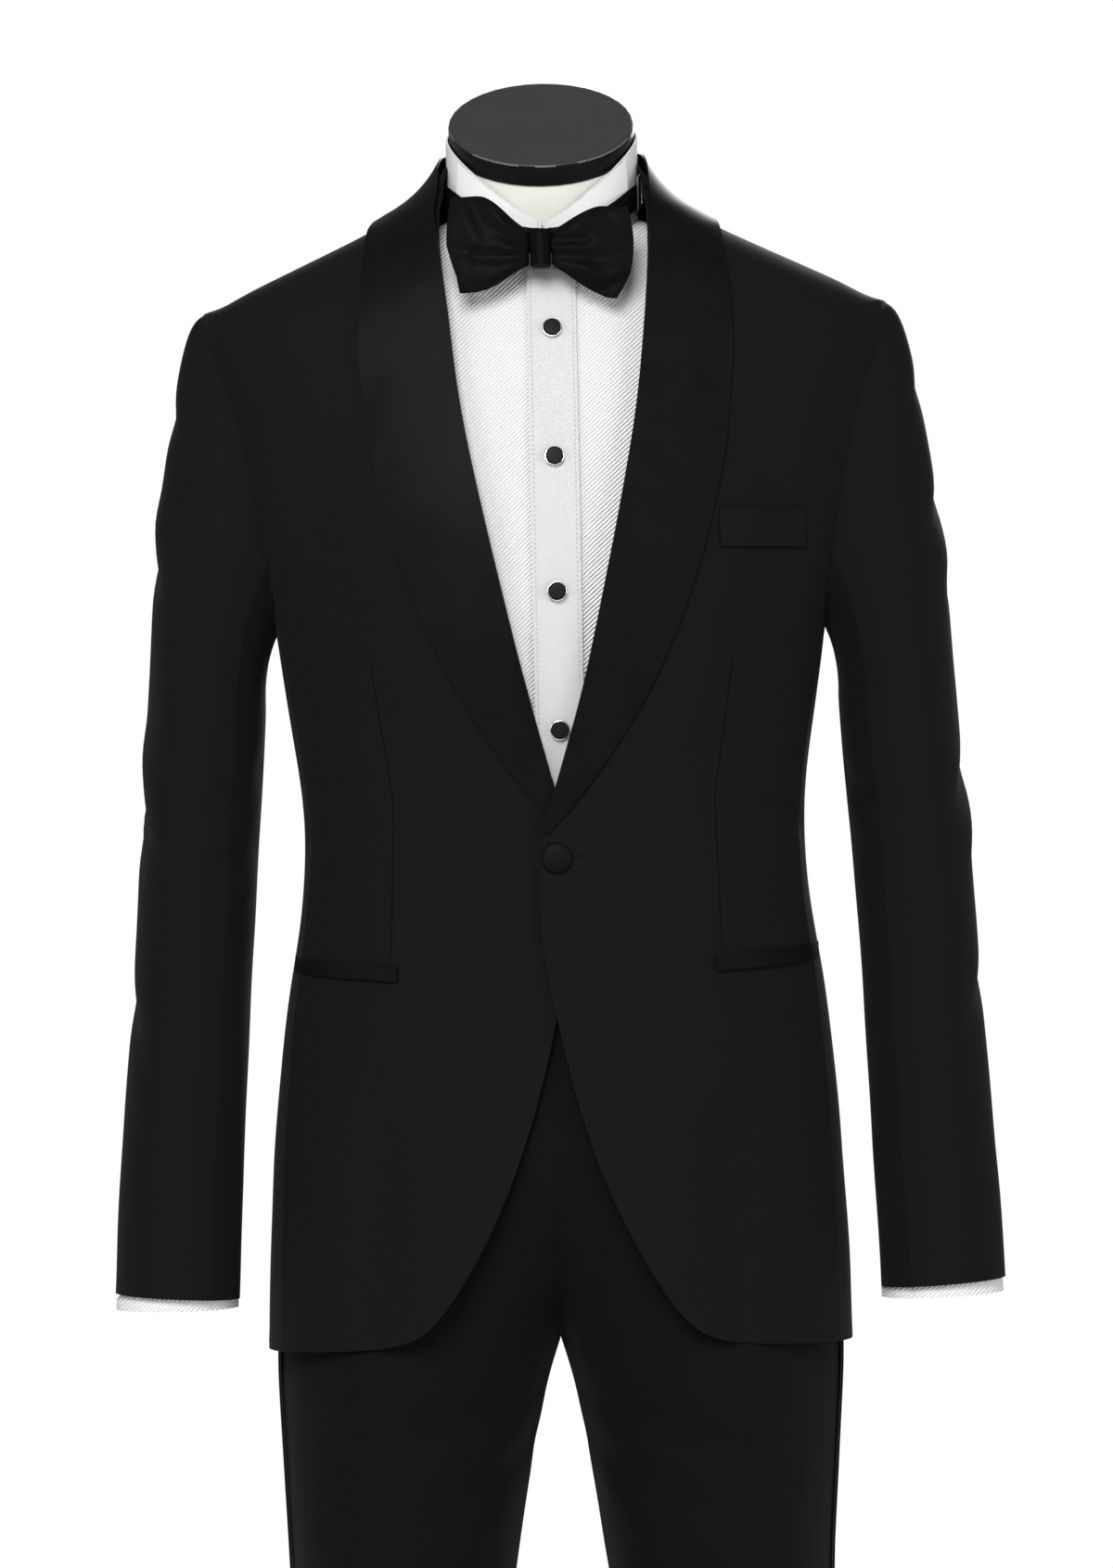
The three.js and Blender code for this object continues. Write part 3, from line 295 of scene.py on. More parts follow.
jersey, tree, surface = new_material("cream_jersey", {"Roughness": 0.95, "Specular IOR Level": 0.2})
cream = mixed(tree, noise_on(tree, 14, 5), (0.4, 0.395, 0.36), (0.47, 0.465, 0.43))
tree.links.new(cream, surface.inputs["Base Color"])
raised(tree, surface, ribs_on(tree, "DIAGONAL", 500), 0.2, 0.0003)
torso = cut_from("form_torso", "covered_torso", 2)
put_on(torso, jersey, "form_cloth", "form_torso")

lacquer, tree, surface = new_material("black_lacquer", {"Specular IOR Level": 0.1})
speckle = noise_on(tree, 700, 3)
wear_and_highlight_patches = noise_on(tree, 25, 4)
lid_slope, lid_face, edge_width = math.tan(math.radians(29)), 1.6172, 0.0006
place = tree.nodes.new("ShaderNodeTexCoord").outputs["Object"]
lid_place = add_node(tree, "ShaderNodeSeparateXYZ", inputs={"Vector": place}).outputs
level = reckoned(tree, "MULTIPLY_ADD", lid_place["Y"], -lid_slope, lid_place["Z"])
on_top = reckoned(tree, "GREATER_THAN", level, lid_face)
# The rim of the lid's top is painted lighter in patches: a painted highlight along the rim.
at_edge = reckoned(tree, "COMPARE", level, lid_face, edge_width)
rim_highlight = reckoned(tree, "MULTIPLY", at_edge, reckoned(tree, "GREATER_THAN", wear_and_highlight_patches, 0.5))
# The lid's side is painted far darker than its top: painted shade on the side.
painted_shade_side_colour = mixed(tree, speckle, (0.0015, 0.0015, 0.0017), (0.004, 0.004, 0.0043))
top_colour = mixed(tree, speckle, (0.01, 0.01, 0.011), (0.034, 0.034, 0.036))
lid_paint_and_painted_shade = mixed(tree, on_top, painted_shade_side_colour, top_colour)
lid_colour = mixed(tree, rim_highlight, lid_paint_and_painted_shade, (0.075, 0.075, 0.075))
tree.links.new(lid_colour, surface.inputs["Base Color"])
tree.links.new(between(tree, wear_and_highlight_patches, 0.34, 0.5), surface.inputs["Roughness"])
raised(tree, surface, speckle, 0.25, 0.0002)
lid = cut_from("neck_cap", "neck_lid", 0, 30)
bevelled = lid.modifiers.new("rounded_edge", "BEVEL")
bevelled.width = edge_width
bevelled.segments = 3
bevelled.angle_limit = math.radians(25)
bpy.ops.object.modifier_apply(modifier=bevelled.name)
put_on(lid, lacquer, "cap", "neck_cap")


# The shirt is white cotton with a raised diagonal rib. Two fronts and a back meet at the sides and
# shoulders, a plain front band with four studs is stitched down the middle, and the sleeves end in
# stiff cuffs. The collar is a tall band with two wings folded over in front.
def along_line(tree, x0, z0, x1, z1, half_width):
    """One on a straight line between two places, each an x and a height, and nought off it."""
    at = tree.nodes.new("ShaderNodeTexCoord").outputs["Object"]
    place = add_node(tree, "ShaderNodeSeparateXYZ", inputs={"Vector": at}).outputs
    slope = (x1 - x0) / (z1 - z0)
    line = reckoned(tree, "MULTIPLY_ADD", place["Z"], -slope, place["X"])
    near = reckoned(tree, "COMPARE", line, x0 - slope * z0, half_width)
    in_reach = reckoned(tree, "COMPARE", place["Z"], (z0 + z1) / 2, abs(z1 - z0) / 2)
    return reckoned(tree, "MULTIPLY", near, in_reach)


def on_any(tree, lines, half_width):
    """One on any of several lines."""
    share = along_line(tree, *lines[0], half_width)
    for line in lines[1:]:
        share = reckoned(tree, "MAXIMUM", share, along_line(tree, *line, half_width))
    return share


def white_cotton(name, rib_depth, rib_scale=150, stitched=(), bright=1.0):
    """White cotton with a diagonal rib, crossed by a fainter one, and with these stitched lines, dotted
    grey with painted shade.
    """
    shaded, lit, painted_stitch_shade = [0.5 * bright] * 3, [0.68 * bright] * 3, (0.36, 0.36, 0.37)
    rib_turn, cross_turn = math.radians(-48), math.radians(50)
    material, tree, surface = new_material(name, {"Roughness": 0.8, "Specular IOR Level": 0.3})
    rib = ribs_on(tree, "X", rib_scale, 0.6, turn=(0, rib_turn, 0))
    cross = ribs_on(tree, "X", rib_scale * 2.5, turn=(0, cross_turn, 0))
    colour = mixed(tree, rib, shaded, lit)
    if stitched:
        # The stitch lines are dotted grey: painted shade in the stitch holes.
        stitches = reckoned(tree, "MULTIPLY", on_any(tree, stitched, 0.0005), ribs_on(tree, "Z", 105))
        colour = mixed(tree, stitches, colour, painted_stitch_shade)
    tree.links.new(colour, surface.inputs["Base Color"])
    raised(tree, surface, reckoned(tree, "MULTIPLY_ADD", cross, 0.35, rib), 1.0, rib_depth)
    return material


def read_points(obj):
    """The places of a piece's corners, one row each."""
    points = np.zeros(len(obj.data.vertices) * 3, np.float32)
    obj.data.vertices.foreach_get("co", points)
    return points.reshape(-1, 3).astype(float)


def write_points(obj, points):
    """Puts a piece's corners at these places."""
    obj.data.vertices.foreach_set("co", points.astype(np.float32).ravel())
    obj.data.update()


def fold_depth(across, up, folds, reach):
    """How far each point moves out. A fold is a row of two places, each an angle and a height,
    with its width and its depth in metres, and reach is the metres in one degree. A fold is deepest
    at its middle."""
    end_share, swell_start, swell_length = 0.45, 0.12, 0.76
    push = np.zeros(len(across))
    for angle0, height0, angle1, height1, width, depth in folds:
        run = np.array([(angle1 - angle0) * reach, height1 - height0])
        place = np.stack([(across - angle0) * reach, up - height0], 1)
        along = np.clip(place @ run / max(run @ run, 1e-9), 0, 1)
        away = np.linalg.norm(place - along[:, None] * run, axis=1)
        swell = np.sin(np.pi * (swell_start + swell_length * along))
        taper = end_share + (1 - end_share) * swell
        push += depth * taper * np.exp(-((away / width) ** 2))
    return push


def ripple(across, up, reach):
    """The slight unevenness of pressed cloth, under half a millimetre."""
    side = across * reach
    return (
        0.00022 * np.sin(31 * side + 17 * up + 1.3)
        + 0.00018 * np.sin(58 * side - 23 * up + 0.4)
        + 0.00012 * np.sin(11 * side + 74 * up + 2.1)
    )


def round_body(points):
    """Angle from the centre front, positive to the wearer's left, and the way out of the body."""
    angle = np.degrees(np.arctan2(points[:, 0], -points[:, 1]))
    outward = np.stack([points[:, 0] * 0.45, points[:, 1], 0 * angle], 1)
    return angle, outward / np.linalg.norm(outward, axis=1)[:, None]


def drape(obj, folds, around=round_body, reach=0.0026, fade=None):
    """Lays the folds into a piece of cloth, both faces together."""
    points = read_points(obj)
    angle, outward = around(points)
    behind = 130
    front_folds = [fold for fold in folds if abs(fold[0]) < behind]
    back_folds = [fold for fold in folds if abs(fold[0]) >= behind]
    push = ripple(angle, points[:, 2], reach)
    push += fold_depth(angle, points[:, 2], front_folds, reach)
    push += fold_depth(angle % 360, points[:, 2], back_folds, reach)
    if fade is not None:
        push *= fade(points)
    write_points(obj, points + outward * push[:, None])


def rim_of(piece):
    """The points along the sharp edges of a piece of cloth, which are its cut edges."""
    rim = {corner for edge in piece.data.edges if edge.use_edge_sharp for corner in edge.vertices}
    return sorted(rim)


def close_seams(pieces, within=0.0016, share=0.54):
    """Draws the edges of neighbouring pieces together, so that no light shows through a seam."""
    shapes = [read_points(piece) for piece in pieces]
    rims = [rim_of(piece) for piece in pieces]
    trees = []
    for shape, rim in zip(shapes, rims):
        tree = kdtree.KDTree(len(rim))
        for corner in rim:
            tree.insert(shape[corner], corner)
        tree.balance()
        trees.append(tree)
    for mine, (piece, shape) in enumerate(zip(pieces, shapes)):
        drawn = shape.copy()
        for corner in rims[mine]:
            finds = [tree.find(shape[corner]) for other, tree in enumerate(trees) if other != mine]
            place, _, distance = min(finds, key=lambda find: find[2])
            if distance < within:
                drawn[corner] += (np.array(place) - shape[corner]) * share
        write_points(piece, drawn)


shirt_folds = [
    # angle, height, angle, height, width, depth
    (-38, 1.47, -24, 1.24, 0.010, -0.0012),
    (36, 1.46, 25, 1.26, 0.009, -0.0012),
    (-14, 1.30, -9, 1.13, 0.012, 0.0008),
    (16, 1.42, 13, 1.20, 0.011, -0.0007),
    (150, 1.40, 165, 1.22, 0.020, -0.0020),
    (212, 1.41, 196, 1.20, 0.020, -0.0020),
    (80, 1.25, 100, 1.12, 0.014, -0.0015),
    (-80, 1.24, -98, 1.10, 0.014, -0.0015),
]
ribbed = white_cotton("ribbed_cotton", 0.0009)
plain = white_cotton("plain_cotton", 0.00015, 420, bright=0.92)
cuff_cotton = white_cotton("cuff_cotton", 0.0006, bright=0.98)
front_band = white_cotton(
    "front_band_cotton",
    0.0003,
    420,
    [(-0.0088, 1.06, -0.0088, 1.514), (0.0178, 1.06, 0.0178, 1.514)],
    bright=0.86,
)
shirt_cut = [
    # node, levels, width, length, area, how it is held, what it lies on
    ("shirt_front_left", 3, 0.245, 0.625, 0.133, "stretched", ["form_torso"]),
    ("shirt_front_right", 3, 0.245, 0.625, 0.133, "stretched", ["form_torso"]),
    ("shirt_back", 2, 0.475, 0.66, 0.27, "hung", ["form_torso"]),
    ("shirt_placket", 2, 0.036, 0.475, 0.0168, "stretched", ["shirt_front_left"]),
    ("collar_band", 2, 0.39, 0.065, 0.0189, "stretched", ["form_torso"]),
    ("collar_wing_left", 3, 0.055, 0.045, 0.0014, "folded", ["collar_band"]),
    ("collar_wing_right", 3, 0.055, 0.045, 0.0014, "folded", ["collar_band"]),
    ("shirt_sleeve_left", 2, 0.33, 0.58, 0.134, "hung", ["shirt_front_left"]),
    ("shirt_sleeve_right", 2, 0.33, 0.58, 0.134, "hung", ["shirt_front_right"]),
    ("shirt_cuff_left", 2, 0.25, 0.054, 0.0133, "hung", ["shirt_sleeve_left"]),
    ("shirt_cuff_right", 2, 0.25, 0.054, 0.0133, "hung", ["shirt_sleeve_right"]),
]
smooth_parts = ("collar_band", "collar_wing_left", "collar_wing_right")
body_parts = ("shirt_front_left", "shirt_front_right", "shirt_back")
cuff_fit = {
    # node: slope of the hem, distance from the suit's middle that stays when it is widened
    "shirt_cuff_left": (0.04, 0.266),
    "shirt_cuff_right": (0, 0.214),
}


def tilt_hem(obj, slope):
    """Lowers the inner side of a sleeve's hem and lifts the outer side, as the arm hangs."""
    blend_top, blend_height, arm_middle = 0.95, 0.07, 0.245
    points = read_points(obj)
    near_hem = np.clip((blend_top - points[:, 2]) / blend_height, 0, 1)
    points[:, 2] += slope * (np.abs(points[:, 0]) - arm_middle) * near_hem
    write_points(obj, points)


def fill_sleeve(cuff, middle):
    """Widens a cuff, below the sleeve that covers it, to the sleeve's own width."""
    sleeve_hem, blend_height, widening = 0.869, 0.005, 0.085
    points = read_points(cuff)
    below_sleeve = np.clip((sleeve_hem - points[:, 2]) / blend_height, 0, 1)
    from_middle = np.abs(points[:, 0]) - middle
    points[:, 0] += np.sign(points[:, 0]) * widening * from_middle * below_sleeve
    write_points(cuff, points)


shirt_body = []
for node, levels, width, length, area, held, lies_on in shirt_cut:
    piece = cut_from(node, node + "_cotton", levels)
    if node in body_parts or node == "shirt_placket":
        drape(piece, shirt_folds)
    if node in body_parts:
        shirt_body.append(piece)
    if node == "shirt_placket":
        put_on(piece, front_band, "shirting", node)
    elif node in cuff_fit:
        hem_slope, middle = cuff_fit[node]
        tilt_hem(piece, hem_slope)
        fill_sleeve(piece, middle)
        put_on(piece, cuff_cotton, "shirting", node)
    else:
        put_on(piece, plain if node in smooth_parts else ribbed, "shirting", node)
close_seams(shirt_body)

# The four studs are flat black stones in thin silver rims, pushed through the front band. Each rim
# is a fine ring that is turned to lie flat round the foot of its stone.
onyx, tree, surface = new_material("onyx", {"Roughness": 0.5, "Specular IOR Level": 0.06})
stone_black = mixed(tree, noise_on(tree, 400, 3), (0.002, 0.002, 0.002), (0.008, 0.008, 0.009))
tree.links.new(stone_black, surface.inputs["Base Color"])
silver, tree, surface = new_material("rim_silver", {"Metallic": 1.0, "Base Color": (0.8, 0.8, 0.8, 1)})
tree.links.new(between(tree, noise_on(tree, 900), 0.15, 0.3), surface.inputs["Roughness"])
stone_radius, stone_depth, rim_radius, wire_radius, rim_set_back = 0.0057, 0.0038, 0.0058, 0.0005, 0.0004
for number in range(1, 5):
    node = f"stud_{number}"
    points = read_points(nodes[node])
    centre = points.mean(0)
    flat_way = np.linalg.svd(points - centre)[2][2]
    flat_way *= -np.sign(flat_way[1])
    turn = (math.radians(90) - math.atan2(flat_way[2], -flat_way[1]), 0, 0)
    stone = new_piece(
        node + "_stone",
        bpy.ops.mesh.primitive_cylinder_add,
        vertices=48,
        radius=stone_radius,
        depth=stone_depth,
        location=centre,
        rotation=turn,
    )
    round_edges(0.0007, 4, 60)
    put_on(stone, onyx, "stud", node)
    rim = new_piece(
        node + "_rim",
        bpy.ops.mesh.primitive_torus_add,
        major_radius=rim_radius,
        minor_radius=wire_radius,
        major_segments=48,
        minor_segments=12,
        location=centre - flat_way * rim_set_back,
        rotation=turn,
    )
    bpy.ops.object.shade_smooth()
    rim.data.materials.append(silver)
    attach(rim, "root")


# The trousers are black wool twill: two fronts, each pressed to a crease, two backs, a satin stripe
# over each outer seam and a plain waistband. They hang from the waist with soft breaks at the knee.
def black_wool(name, seams=(), bright=1.0):
    """Matte black twill. A seam is a line from one x and height to another, drawn as a fine groove with
    painted shade in it.
    """
    material, tree, surface = new_material(
        name,
        {
            "Roughness": 0.82,
            "Specular IOR Level": 0.06,
            "Sheen Weight": 0.012,
            "Sheen Roughness": 0.45,
        },
    )
    twill = ribs_on(tree, "DIAGONAL", 560, 0.8, (1, 0.7, -1))
    height = reckoned(tree, "MULTIPLY", twill, noise_on(tree, 650, 4))
    shaded = [value * bright for value in (0.0018, 0.0018, 0.002)]
    lit = [value * bright for value in (0.0066, 0.0066, 0.0073)]
    colour = mixed(tree, height, shaded, lit)
    if seams:
        groove = on_any(tree, seams, 0.0006)
        # The seam grooves are painted near black: painted shade in the groove.
        colour = mixed(tree, groove, colour, (0.001, 0.001, 0.001))
        height = reckoned(tree, "MULTIPLY_ADD", groove, -1.5, height)
    tree.links.new(colour, surface.inputs["Base Color"])
    raised(tree, surface, height, 0.5, 0.0004)
    return material


def black_satin(name, roughness=0.42, shine=0.025):
    """Black satin: smooth, with the faint cross ribs of its weave and a soft shine."""
    material, tree, surface = new_material(name, {"Specular IOR Level": shine})
    shade = noise_on(tree, 55, 3)
    colour = mixed(tree, shade, (0.0022, 0.0022, 0.0024), (0.0042, 0.0042, 0.0046))
    tree.links.new(colour, surface.inputs["Base Color"])
    gloss = between(tree, shade, roughness - 0.03, roughness + 0.05)
    tree.links.new(gloss, surface.inputs["Roughness"])
    raised(tree, surface, ribs_on(tree, "Z", 700, 1.2), 0.12, 0.0002)
    return material


def round_leg(points):
    """Angle round a leg from its front, positive to the outside, and the way out of the leg."""
    side = np.sign(points[:, 0].mean())
    heights = [0.03, 0.25, 0.48, 0.683, 0.797, 0.86, 0.956]
    centres = [0.128, 0.121, 0.112, 0.1026, 0.095, 0.08, 0.04]
    from_centre = points[:, 0] * side - np.interp(points[:, 2], heights, centres)
    angle = np.degrees(np.arctan2(from_centre, -points[:, 1]))
    outward = np.stack([from_centre * side, points[:, 1], 0 * angle], 1)
    return angle, outward / np.linalg.norm(outward, axis=1)[:, None]


wool = black_wool("black_twill")
fly_lines = [
    # x, height, x, height
    (-0.0012, 0.846, 0.0, 0.872),
    (0.0, 0.872, -0.003, 0.91),
    (-0.003, 0.91, -0.0032, 1.0),
]
# The trousers' wool is the jacket's wool painted at six tenths of its brightness: painted shade for the
# dimmer light on the legs.
trouser_wool_painted_shade = black_wool("black_twill_trousers_painted_shade", fly_lines, 0.6)
leg_wool_painted_shade = black_wool("black_twill_legs_painted_shade", bright=0.6)
satin = black_satin("black_satin")
leg_folds = {
    "left": [
        # angle, height, angle, height, width, depth
        (18, 0.860, 18, 0.050, 0.0050, 0.0016),
        (-75, 0.800, 30, 0.752, 0.016, -0.0048),
        (-80, 0.770, 10, 0.716, 0.013, -0.0035),
        (-60, 0.735, 40, 0.690, 0.020, 0.0026),
        (-35, 0.640, -28, 0.430, 0.020, -0.0042),
        (58, 0.620, 52, 0.380, 0.022, -0.0038),
        (-70, 0.480, -10, 0.455, 0.012, -0.0032),
        (-40, 0.300, -30, 0.110, 0.018, -0.0032),
        (50, 0.280, 60, 0.090, 0.018, -0.0029),
        (-50, 0.130, 55, 0.108, 0.012, -0.0042),
        (160, 0.790, 110, 0.740, 0.015, -0.0045),
        (215, 0.720, 230, 0.480, 0.020, -0.0038),
        (140, 0.640, 135, 0.420, 0.020, -0.0042),
        (150, 0.470, 215, 0.452, 0.013, -0.0045),
        (150, 0.440, 210, 0.420, 0.011, -0.0029),
        (145, 0.260, 150, 0.080, 0.018, -0.0032),
    ],
    "right": [
        (18, 0.860, 18, 0.050, 0.0050, 0.0014),
        (-75, 0.803, 25, 0.762, 0.017, -0.0045),
        (-80, 0.765, 20, 0.705, 0.014, -0.0042),
        (-50, 0.728, 50, 0.700, 0.018, 0.0029),
        (-32, 0.650, -36, 0.450, 0.022, -0.0038),
        (62, 0.600, 55, 0.350, 0.020, -0.0042),
        (-65, 0.470, 0, 0.448, 0.012, -0.0035),
        (-45, 0.310, -32, 0.120, 0.018, -0.0029),
        (55, 0.270, 58, 0.080, 0.017, -0.0032),
        (-45, 0.122, 60, 0.101, 0.012, -0.0038),
        (165, 0.792, 105, 0.735, 0.016, -0.0042),
        (220, 0.700, 228, 0.500, 0.019, -0.0038),
        (135, 0.660, 140, 0.430, 0.021, -0.0042),
        (148, 0.462, 220, 0.446, 0.013, -0.0042),
        (140, 0.270, 148, 0.070, 0.018, -0.0035),
    ],
}


def near_crotch(points):
    """How far the leg folds act: not under the waistband, nor where the seat seam joins the legs."""
    below_band = np.clip((0.93 - points[:, 2]) / 0.1, 0, 1)
    off_centre = np.clip(np.abs(points[:, 0]) / 0.03, 0, 1)
    below_crotch = np.clip((0.83 - points[:, 2]) / 0.05, 0, 1)
    return below_band * np.maximum(off_centre, below_crotch)


def press_crease(obj, height):
    """The crease pressed down the front of a leg: the cloth rises to it from both sides."""
    crease_angle, reach, jacket_hem, blend_height = 18, 36, 0.875, 0.035
    points = read_points(obj)
    angle, outward = round_leg(points)
    rise = np.clip(1 - np.abs(angle - crease_angle) / reach, 0, 1)
    below_hem = np.clip((jacket_hem - points[:, 2]) / blend_height, 0, 1)
    write_points(obj, points + outward * (height * rise * below_hem)[:, None])


def lip_band(band):
    """Turns the waistband's lower edge out and down into a small lip over the trousers."""
    edge_top, edge_height, drop, spread = 0.959, 0.002, 0.0015, 0.005
    points = read_points(band)
    foot = np.clip((edge_top - points[:, 2]) / edge_height, 0, 1)
    points[:, 2] -= drop * foot
    points[:, 1] *= 1 + spread * foot
    write_points(band, points)


def hang(obj, opening=0.0):
    """The suit hangs a little off its middle: the hem and the legs lie to the wearer's right, and
    the jacket's opening to the wearer's left by the given amount."""
    hem_shift, leg_shift, opening_reach = 0.0016, 0.0024, 0.09
    points = read_points(obj)
    across, up = points[:, 0], points[:, 2]
    low = hem_shift * np.clip((1.1 - up) / 0.15, 0, 1) + leg_shift * np.clip((0.88 - up) / 0.18, 0, 1)
    high = opening * np.exp(-((across / opening_reach) ** 2))
    high *= np.clip((up - 1.15) / 0.1, 0, 1) * np.clip((1.55 - up) / 0.06, 0, 1)
    points[:, 0] += high - low
    write_points(obj, points)


crease_heights = {"left": 0.007, "right": 0.0035}
trouser_cut = [
    # node, levels, width, length, area, what it lies on
    ("trouser_front", 3, 0.283, 0.93, 0.1986, "waistband"),
    ("trouser_back", 3, 0.3, 0.93, 0.2187, "waistband"),
    ("waistband", 2, 0.44, 0.089, 0.0386, "shirt_front"),
    ("side_stripe", 2, 0.023, 0.93, 0.0171, "trouser_front"),
]
legs = []
for side in ("left", "right"):
    for node, levels, width, length, area, lies_on in trouser_cut:
        piece = cut_from(f"{node}_{side}", f"{node}_{side}_cloth", levels)
        if node != "waistband":
            drape(piece, leg_folds[side], round_leg, 0.0014, near_crotch)
        if node != "side_stripe":
            legs.append(piece)
        if node == "trouser_front":
            press_crease(piece, crease_heights[side])
        if node == "waistband":
            lip_band(piece)
        hang(piece)
        is_stripe = node == "side_stripe"
        is_front = node in ("trouser_front", "waistband")
        cloth = satin if is_stripe else trouser_wool_painted_shade if is_front else leg_wool_painted_shade
        put_on(piece, cloth, "satin" if is_stripe else "wool", f"{node}_{side}")
close_seams(legs)


# The jacket is black wool twill: two fronts with a dart each, two side bodies, two backs with side
# vents, two-piece sleeves and an under collar. Its shawl collar, pocket jets and button are satin.
def round_sleeve(points):
    """Angle round a sleeve from its front, positive to the outside, and the way out of the arm."""
    side = np.sign(points[:, 0].mean())
    heights = [0.86, 1.0, 1.157, 1.24, 1.4, 1.48]
    across = np.interp(points[:, 2], heights, [0.2482, 0.2393, 0.2295, 0.223, 0.205, 0.196])
    deep = np.interp(points[:, 2], heights, [-0.025, -0.0147, -0.0005, 0.0075, 0.008, 0.008])
    from_centre = points[:, 0] * side - across
    back = points[:, 1] - deep
    angle = np.degrees(np.arctan2(from_centre, -back))
    outward = np.stack([from_centre * side, back, 0 * angle], 1)
    return angle, outward / np.linalg.norm(outward, axis=1)[:, None]


def off_armhole(points):
    """How far folds act on either side of the armhole seam: not at all at the seam itself."""
    seam_angle, seam_height, half_angle, half_height = 90, 1.39, 17, 0.106
    angle = np.degrees(np.arctan2(np.abs(points[:, 0]), -points[:, 1]))
    ring = np.hypot((angle - seam_angle) / half_angle, (points[:, 2] - seam_height) / half_height)
    return np.clip((np.abs(ring - 1) - 0.15) / 0.25, 0, 1)


body_folds = [
    # angle, height, angle, height, width, depth
    (-62, 1.385, -50, 1.200, 0.030, -0.0050),
    (62, 1.350, 52, 1.180, 0.028, -0.0042),
    (-60, 1.195, -78, 1.170, 0.008, -0.0025),
    (-58, 1.168, -80, 1.150, 0.007, -0.0021),
    (58, 1.180, 80, 1.160, 0.008, -0.0021),
    (-10, 1.125, -48, 1.060, 0.026, 0.0025),
    (12, 1.120, 52, 1.040, 0.028, 0.0028),
    (-14, 1.160, -40, 1.215, 0.018, -0.0020),
    (14, 1.160, 42, 1.205, 0.018, -0.0020),
    (-50, 0.990, -52, 0.835, 0.020, -0.0039),
    (48, 0.970, 50, 0.835, 0.020, -0.0034),
    (-34, 0.980, -33, 0.850, 0.022, 0.0022),
    (34, 0.960, 32, 0.850, 0.022, 0.0025),
    (-52, 1.440, -62, 1.350, 0.012, -0.0028),
    (52, 1.440, 62, 1.345, 0.012, -0.0025),
    (150, 1.420, 140, 1.240, 0.024, -0.0048),
    (210, 1.415, 222, 1.230, 0.024, -0.0045),
    (166, 1.400, 170, 1.200, 0.022, 0.0020),
    (135, 1.165, 172, 1.150, 0.012, -0.0036),
    (226, 1.172, 190, 1.146, 0.012, -0.0034),
    (140, 1.130, 170, 1.122, 0.009, -0.0022),
    (162, 1.000, 160, 0.840, 0.020, 0.0034),
    (200, 1.000, 202, 0.840, 0.020, 0.0031),
    (144, 0.980, 142, 0.840, 0.018, -0.0031),
    (218, 0.985, 220, 0.840, 0.018, -0.0031),
]
arm_folds = {
    "left": [
        (98, 1.452, 40, 1.425, 0.010, -0.0025),
        (100, 1.378, 35, 1.345, 0.011, -0.0034),
        (104, 1.312, 45, 1.285, 0.009, -0.0028),
        (96, 1.345, 50, 1.318, 0.012, 0.0018),
        (102, 1.205, 30, 1.165, 0.012, -0.0036),
        (98, 1.175, 45, 1.135, 0.010, 0.0020),
        (-70, 1.190, 0, 1.165, 0.011, -0.0031),
        (-75, 1.150, -15, 1.140, 0.009, -0.0025),
        (100, 1.065, 40, 1.035, 0.011, -0.0028),
        (20, 1.330, 15, 1.020, 0.022, 0.0017),
        (-20, 1.300, -10, 1.050, 0.020, -0.0020),
        (165, 1.380, 175, 1.210, 0.016, -0.0034),
        (150, 1.205, 200, 1.170, 0.010, -0.0036),
        (150, 1.160, 210, 1.140, 0.009, -0.0028),
        (170, 1.080, 165, 0.920, 0.016, -0.0025),
    ],
    "right": [
        (98, 1.440, 38, 1.415, 0.011, -0.0031),
        (102, 1.342, 40, 1.310, 0.011, -0.0034),
        (96, 1.375, 48, 1.350, 0.012, 0.0018),
        (104, 1.190, 35, 1.150, 0.012, -0.0039),
        (98, 1.225, 40, 1.192, 0.012, 0.0020),
        (100, 1.162, 55, 1.140, 0.008, -0.0020),
        (-70, 1.200, 5, 1.170, 0.011, -0.0031),
        (-72, 1.155, -12, 1.142, 0.009, -0.0028),
        (102, 1.062, 42, 1.030, 0.012, -0.0031),
        (18, 1.320, 14, 1.010, 0.022, 0.0018),
        (-22, 1.310, -12, 1.060, 0.020, -0.0020),
        (168, 1.370, 172, 1.220, 0.016, -0.0031),
        (148, 1.215, 205, 1.175, 0.010, -0.0036),
        (152, 1.165, 208, 1.150, 0.009, -0.0025),
        (168, 1.070, 170, 0.930, 0.016, -0.0028),
    ],
}
darted = {}
for side, way in (("left", 1), ("right", -1)):
    dart = [(0.102 * way, 1.18, 0.115 * way, 1.267), (0.105 * way, 1.082, 0.102 * way, 1.18)]
    darted[side] = black_wool(f"black_twill_{side}_front", dart)
back_wool = black_wool(
    "black_twill_back",
    [(-0.0016, 0.835, -0.0016, 0.95), (-0.0016, 0.95, 0.0, 1.1), (0.0, 1.1, 0.0, 1.56)],
)


def shape_jacket(obj):
    """Raises the sleeve heads to a tip, trims the upper arms and draws the collar to the neck."""
    tip_out, tip_up, arm_trim, neck_share, opening_shift = 0.0012, 0.0048, 0.0028, 0.085, 0.0019
    points = read_points(obj)
    across, deep, up = points.T
    side = np.sign(across)
    tip = np.exp(-(((np.abs(across) - 0.221) / 0.012) ** 2 + ((up - 1.488) / 0.017) ** 2))
    tip *= np.exp(-((deep / 0.05) ** 2))
    upper_arm = np.exp(-(((up - 1.435) / 0.05) ** 2)) * np.clip((np.abs(across) - 0.225) / 0.02, 0, 1)
    to_neck = np.clip((up - 1.56) / 0.035, 0, 1)
    points[:, 0] += side * (tip_out * tip - arm_trim * upper_arm) - across * neck_share * to_neck
    points[:, 2] += tip_up * tip
    write_points(obj, points)
    hang(obj, opening_shift)


